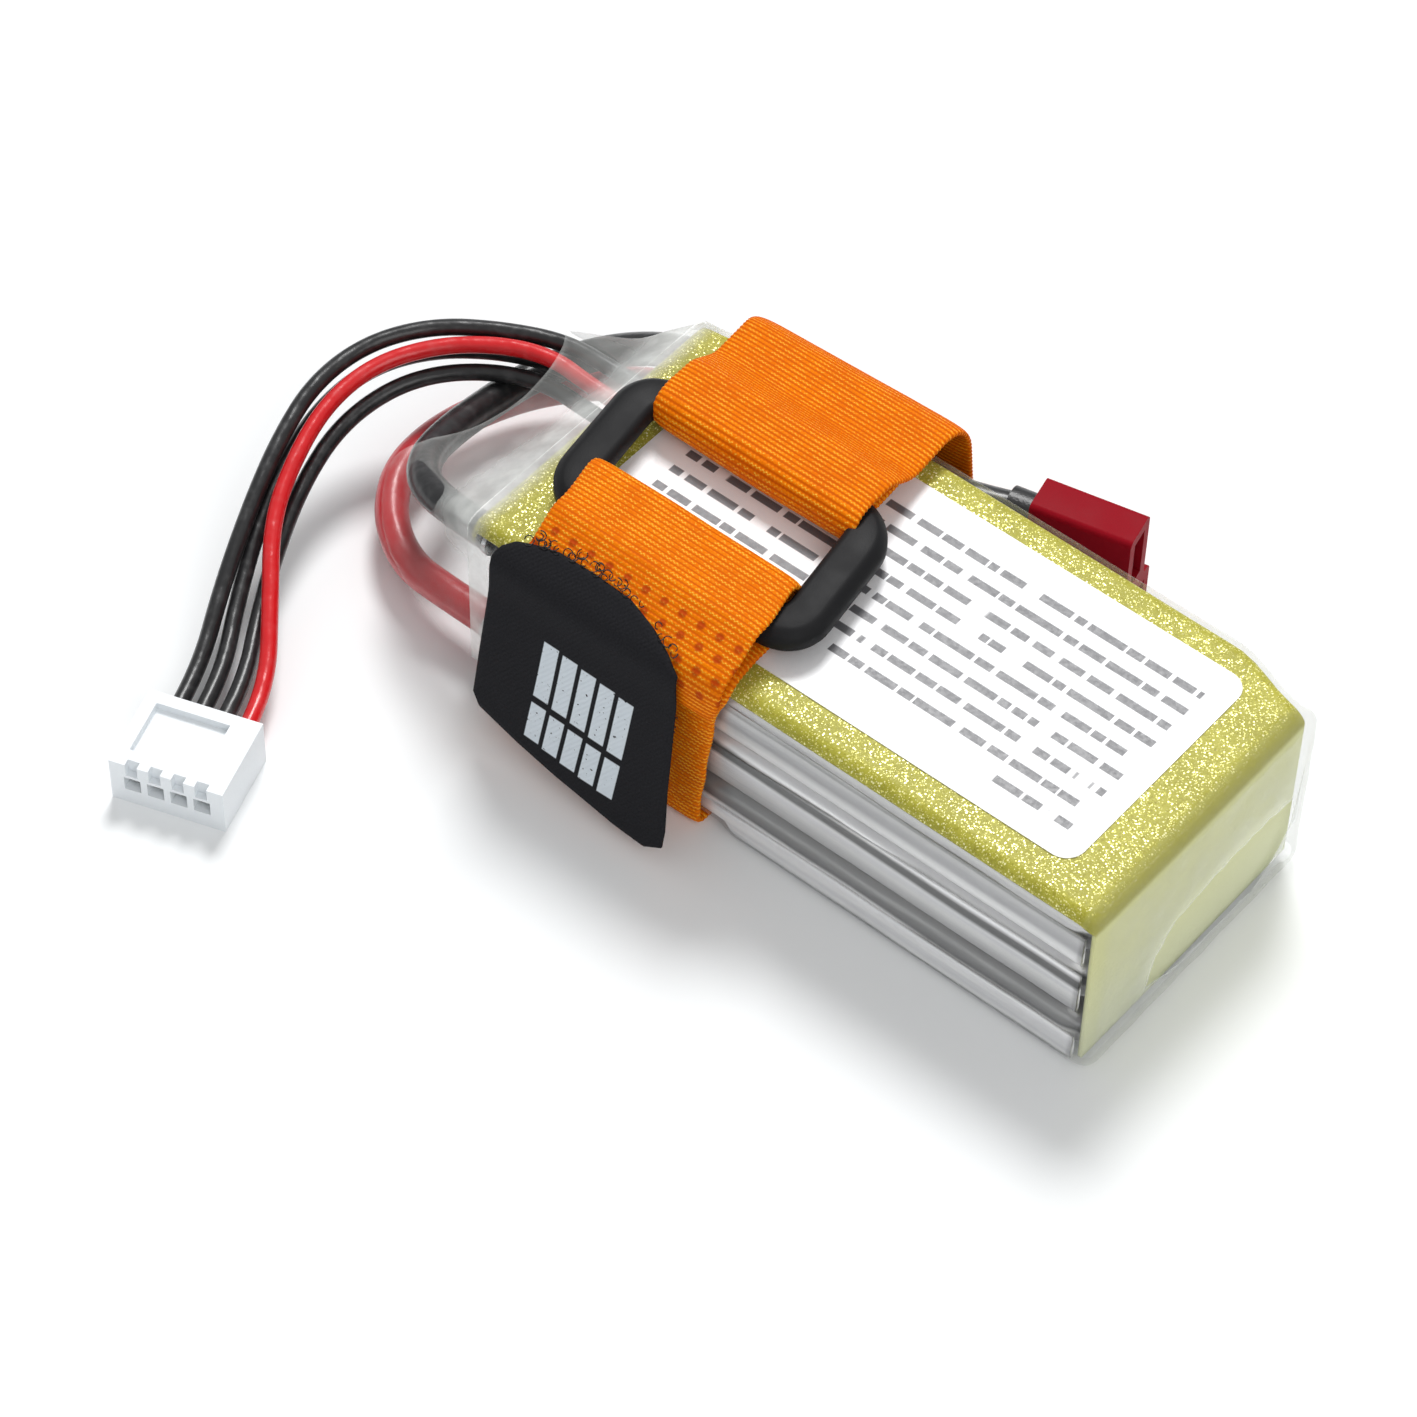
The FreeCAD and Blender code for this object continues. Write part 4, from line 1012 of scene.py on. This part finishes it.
def make_ring(material):
    """The moulded ring: rounded bars under the webbing and bevelled end pieces."""
    count = 200

    def outline(long, wide, radius):
        points = rounded_box(long / 2, -wide / 2, wide / 2, radius, count * 8)
        # a point for each direction round the middle, so that the outlines pair up
        out = []
        for k in range(count):
            want = TURN * k / count - math.pi / 2
            out.append(min(points, key=lambda p: abs(
                (math.atan2(p.y * 1.6, p.x) - want + math.pi) % TURN - math.pi)))
        return out

    outer = outline(RING_LONG, RING_WIDE, RING_ROUND)
    inner = outline(RING_LONG - 2 * RING_END, RING_WIDE - 2 * RING_BAR, RING_CORNER)
    # share of the way from the outer edge in, and height
    section = (
        (0.10, 0.0), (0.03, 0.10), (0.0, 0.35), (0.0, 1.15), (0.02, 1.45), (0.08, 1.80),
        (0.15, 2.08), (0.21, 2.26), (0.29, 2.36), (0.50, 2.40), (0.82, 2.39), (0.91, 2.31),
        (0.96, 2.12), (1.0, 1.85), (1.0, 0.55), (0.96, 0.22), (0.88, 0.04), (0.80, 0.0),
    )
    rings = []
    for share, high in section:
        ring = []
        for a, b in zip(outer, inner):
            p = a.lerp(b, share)
            ring.append((RING_X + p.x + RING_SKEW * p.y, RING_Y + p.y, RING_LOW + high))
        rings.append(ring)
    ring = skin("ring_moulding", rings, closed=True)
    finish_piece(ring, material, "strap", "ring_black", ["strap_ring"])


# ---------------- hook tab
HINGE_Y, HINGE_Z, HOOK_LEAN = -21.0, 20.0, 12.0
TAB_STEP = 0.1  # between the points of the tab's line
TAB_LEFT, TAB_WIDE, TAB_THICK = -32.9, 24.6, 0.62
TAB_RIGHT = ((-4.3, -9.4), (1.8, -9.0), (10.4, -8.3), (15.2, -7.7))  # x, by the distance below
TAB_TOP = (  # share of the width, and how far the cloth reaches above its bending line
    (0.0, 4.6), (0.02, 5.9), (0.07, 7.1), (0.15, 7.8), (0.27, 8.5), (0.46, 8.6), (0.65, 8.4),
    (0.81, 7.2), (0.92, 5.9), (1.0, 4.3),
)
TAB_FOOT = (  # share of the width, and how far it hangs below
    (0.0, 13.4), (0.04, 14.7), (0.25, 15.9), (0.56, 17.1), (0.76, 18.0), (0.92, 18.3),
    (1.0, 17.2),
)
PRINT_LEFT, PRINT_PITCH, PRINT_BARS = -25.4, 2.42, 5
CURL = 0.075  # radius of a hook or a fibre


def tab_line():
    """(y, z) and outward direction of the tab's outer face, by the distance below its hinge."""
    lean = math.radians(HOOK_LEAN)
    foot = (HINGE_Y - math.sin(lean) * 24, HINGE_Z - math.cos(lean) * 24)
    route = [(-11.0, 28.5), (-17.0, 27.5), (-20.8, 24.6), (HINGE_Y, HINGE_Z), foot]
    path = rounded_path(route, [4.0, 4.0, 8.0], TAB_STEP)
    at_hinge = min(
        range(len(path)),
        key=lambda i: abs(path[i][0].y - HINGE_Z) + abs(path[i][0].x - HINGE_Y),
    )
    return path, at_hinge


def tab_spot(path, hinge, x, below):
    """A point of the tab's outer face and the direction away from the pack there."""
    place = min(len(path) - 1.001, max(0.0, hinge + below / TAB_STEP))
    whole = int(place)
    point = path[whole][0].lerp(path[whole + 1][0], place - whole)
    way = path[whole][1]
    out = Vector((way.y, -way.x))
    middle = math.sin(math.pi * min(1.0, max(0.0, (x - TAB_LEFT) / TAB_WIDE)))
    hollow = 0.35 * middle * smooth_step(6.0, 19.0, below)
    wave = 0.10 * rough(x, below, 3.0, 6.0) * smooth_step(2.0, 9.0, below)
    return point + out * (hollow + wave), out


def cloth_material():
    """Black hook tape, printed with plain slanted bars."""
    s = Shader("black hook tape")
    place = s.place(uv="cloth")
    u, v, _ = s.parts(place)
    twill = s.node(
        "TexWave",
        {"Vector": s.place((1.0, 0.8, 1.0), uv="cloth"), "Scale": 1.1, "Distortion": 0.6,
         "Detail": 1.0},
        bands_direction="DIAGONAL",
    ).outputs["Fac"]
    fuzz = s.noise(place, 5.0, 3.0)
    height = s.math("ADD", s.product(twill, 0.5), s.product(fuzz, 0.5))
    black = s.blend(fuzz, rgb(0.006, 0.006, 0.007), rgb(0.026, 0.026, 0.030))
    slant = s.math("MULTIPLY_ADD", v, 0.04, u)
    lane = s.math("DIVIDE", s.math("SUBTRACT", slant, PRINT_LEFT), PRINT_PITCH)
    drop = s.math("MULTIPLY_ADD", s.math("FLOOR", lane), -0.2, v)
    mask = s.product(
        s.band(s.math("FRACT", lane), 0.08, 0.90, 0.04),
        s.band(lane, -0.01, PRINT_BARS + 0.01, 0.02),
        s.math("ADD", s.band(drop, 1.7, 9.0, 0.15), s.band(drop, 9.7, 14.3, 0.15)),
        s.ramp(s.noise(place, 2.2, 3.0), 0.28, 0.36),  # worn away in places
    )
    s.set(
        Base_Color=s.blend(mask, black, rgb(0.66, 0.72, 0.77)),
        Roughness=s.ramp(mask, 0.0, 1.0, 0.86, 0.55),
        Normal=s.bump(height, 0.05),
        Specular_IOR_Level=0.12,
    )
    return s.material


def make_tab(material, pile):
    """The tab's cloth, a front and a back sheet joined round the rim, and its hooks."""
    path, hinge = tab_line()
    columns, rows = 90, 84
    points, uvs = [], []
    for i in range(columns + 1):
        share = i / columns
        top, foot = linear(TAB_TOP, share), linear(TAB_FOOT, share)
        for k in range(2 * rows + 2):
            depth = int(k > rows)  # down the outer face and back up the inner one
            j = 2 * rows + 1 - k if depth else k
            below = mix(-top, foot, j / rows)
            x = mix(TAB_LEFT, linear(TAB_RIGHT, below), share)
            spot, out = tab_spot(path, hinge, x, below)
            edge = min(min(j, rows - j) / rows * (top + foot), share * 24, (1 - share) * 24)
            soft = 1 - smooth_step(0.0, 0.5, edge)
            spot = spot - out * (depth * TAB_THICK + (0.5 - depth) * 0.4 * soft)
            points.append((x, spot.x, spot.y))
            uvs.append((x, below))
    count = 2 * rows + 2
    faces = skin_faces(columns + 1, count)
    for j in range(rows):
        side = (j, j + 1, count - 2 - j, count - 1 - j)
        faces += [side[::-1], tuple(columns * count + k for k in side)]
    cloth = make_mesh("hook_tape_backing", points, faces, uvs)
    cloth.data.materials.append(material)
    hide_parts("hook_tab_root", "hook_tab")
    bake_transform(cloth)
    make_hooks(path, hinge, pile)


def tube_along(points, radius, sides):
    """Rings round a short line of points, thinner towards its end."""
    rings = []
    for i, p in enumerate(points):
        way = (points[min(i + 1, len(points) - 1)] - points[max(i - 1, 0)]).normalized()
        one = way.orthogonal().normalized()
        two = way.cross(one)
        wide = radius * (1 - 0.35 * i / len(points))
        angles = [TURN * k / sides for k in range(sides)]
        rings.append([tuple(p + (one * math.cos(a) + two * math.sin(a)) * wide) for a in angles])
    return rings


def make_hooks(path, hinge, material):
    """The hook field: rows of bent nylon hooks on the tab's inner side."""
    picker = random.Random(5)
    points, faces = [], []
    columns = 36
    for column in range(columns):
        share = column / (columns - 1)
        x = mix(TAB_LEFT + 1.2, -9.4, share)
        below = 1.6
        foot = linear(TAB_FOOT, share) - 0.9
        while below < foot:
            base, out = tab_spot(path, hinge, x, below)
            base = base - out * (TAB_THICK - 0.02)
            turn = picker.choice((-1, 1)) * picker.uniform(0.75, 1.1)
            line = []
            for k in range(6):
                rise = 0.50 * min(1.0, k / 2.5) if k < 3 else 0.50 - 0.05 * (k - 3)
                over = 0.13 * (1 - math.cos(k / 5 * 2.6))
                spot = base - out * rise
                line.append(Vector((x + over * turn, spot.x, spot.y)))
            add_tube(points, faces, tube_along(line, CURL, 4))
            below += 0.62
    hooks = make_mesh("hook_field_pile", points, faces)
    finish_piece(hooks, material, "hook_tab", "hook_pile_black", ["hook_field"])


def make_fibres(material):
    """Loose curls of black fibre along the tab's upper edge."""
    picker = random.Random(11)
    path, hinge = tab_line()
    points, faces = [], []
    for _ in range(34):
        share = picker.uniform(0.12, 0.97)
        above = linear(TAB_TOP, share) + picker.uniform(-0.1, 0.75)
        x = mix(TAB_LEFT, linear(TAB_RIGHT, -above), share)
        point, way = path[max(0, hinge - round(above / TAB_STEP))]
        out = Vector((way.y, -way.x))
        size = picker.uniform(0.28, 0.55)
        start = picker.uniform(0, TURN)
        sweep = picker.uniform(3.6, 5.6)
        line = []
        for k in range(11):
            angle = start + sweep * k / 10
            spot = point + way * (size * math.sin(angle) - 0.2)
            spot -= out * (0.30 - 0.28 * abs(math.sin(angle + 0.6)))
            line.append(Vector((x + size * math.cos(angle), spot.x, spot.y)))
        add_tube(points, faces, tube_along(line, CURL, 5))
    fibres = make_mesh("hook_tape_fibres", points, faces)
    finish_piece(fibres, material, "strap", "hook_pile_black")


# ---------------- carried-over CAD parts
def paint(node, material, bevel=None):
    """Gives a CAD node its material and, where its edges show, small rounded edges."""
    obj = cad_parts[node]
    if not obj.material_slots:
        obj.data.materials.append(material)
    for place in obj.material_slots:
        place.material = material
    if bevel:
        edge = obj.modifiers.new("edges", "BEVEL")
        edge.width = bevel * MM
        edge.segments = 3
        edge.limit_method = "ANGLE"
        edge.angle_limit = math.radians(35)
        edge.harden_normals = False
    obj.data.shade_smooth()
    obj.data.set_sharp_from_angle(angle=math.radians(35))


def metal(name, colour, roughness):
    s = Shader(name)
    place = s.place()
    cloud = s.noise(place, 0.9, 3.0)
    dark = tuple(c * 0.72 for c in colour[:3]) + (1.0,)
    s.set(
        Metallic=1.0,
        Base_Color=s.blend(s.ramp(cloud, 0.35, 0.7), dark, colour),
        Roughness=s.ramp(cloud, 0.3, 0.7, roughness * 0.8, roughness * 1.3),
        Normal=s.bump(s.noise(place, 3.0, 3.0), 0.02),
    )
    return s.material


def paint_nodes():
    for material, bevel, *nodes in (
        (moulded("red nylon", rgb(0.28, 0.004, 0.012), 0.50, grain=0.015, vary=0.10,
                 Specular_IOR_Level=0.05), 0.22, "plug_housing"),
        (moulded("white nylon", rgb(0.84, 0.875, 0.90), 0.40, grain=0.01, vary=0.02), 0.18,
         "balance_housing"),
        (moulded("black heat shrink", rgb(0.015, 0.015, 0.016), 0.38, grain=0.03), 0.3,
         "plug_boot_black"),
        (moulded("red heat shrink", rgb(0.42, 0.008, 0.012), 0.38, grain=0.03), 0.3,
         "plug_boot_red"),
        (moulded("board", rgb(0.020, 0.026, 0.034), 0.35), 0.1, "balance_board"),
        (moulded("foam", rgb(0.03, 0.03, 0.032), 0.9, grain=0.08, grain_size=0.5), 0.2,
         "front_foam_pad"),
        (moulded("white tape", rgb(0.72, 0.72, 0.70), 0.6), None,
         "spacer_tape_lower", "spacer_tape_upper"),
        (moulded("amber tape", rgb(0.55, 0.22, 0.02), 0.2), None, "insulation_tape"),
        (metal("solder", rgb(0.70, 0.71, 0.73), 0.22), 0.15, "solder_joints"),
        (metal("nickel tab", rgb(0.62, 0.61, 0.58), 0.28), None,
         "cell_tabs_bottom", "cell_tabs_middle", "cell_tabs_top"),
        (metal("gold contact", rgb(0.83, 0.58, 0.20), 0.22), 0.1,
         "plug_contact_black", "plug_contact_red"),
        (metal("tin contact", rgb(0.66, 0.66, 0.64), 0.26), 0.1, "balance_terminals"),
        (label_material(), None, "white_label"),
    ):
        for node in nodes:
            paint(node, material, bevel)


# ---------------- build
make_camera()
make_cords()
make_studio()
make_pouches(foil_material())
make_card(card_material())
film = film_material()
make_sleeve(film)
make_tail(film)
make_webbing(webbing_material())
make_ring(moulded("ring plastic", rgb(0.010, 0.010, 0.011), 0.52, grain=0.02, grain_size=0.15,
                  Specular_IOR_Level=0.16))
hook_nylon = moulded("hook nylon", rgb(0.012, 0.012, 0.013), 0.45)
make_tab(cloth_material(), hook_nylon)
make_fibres(hook_nylon)
paint_nodes()
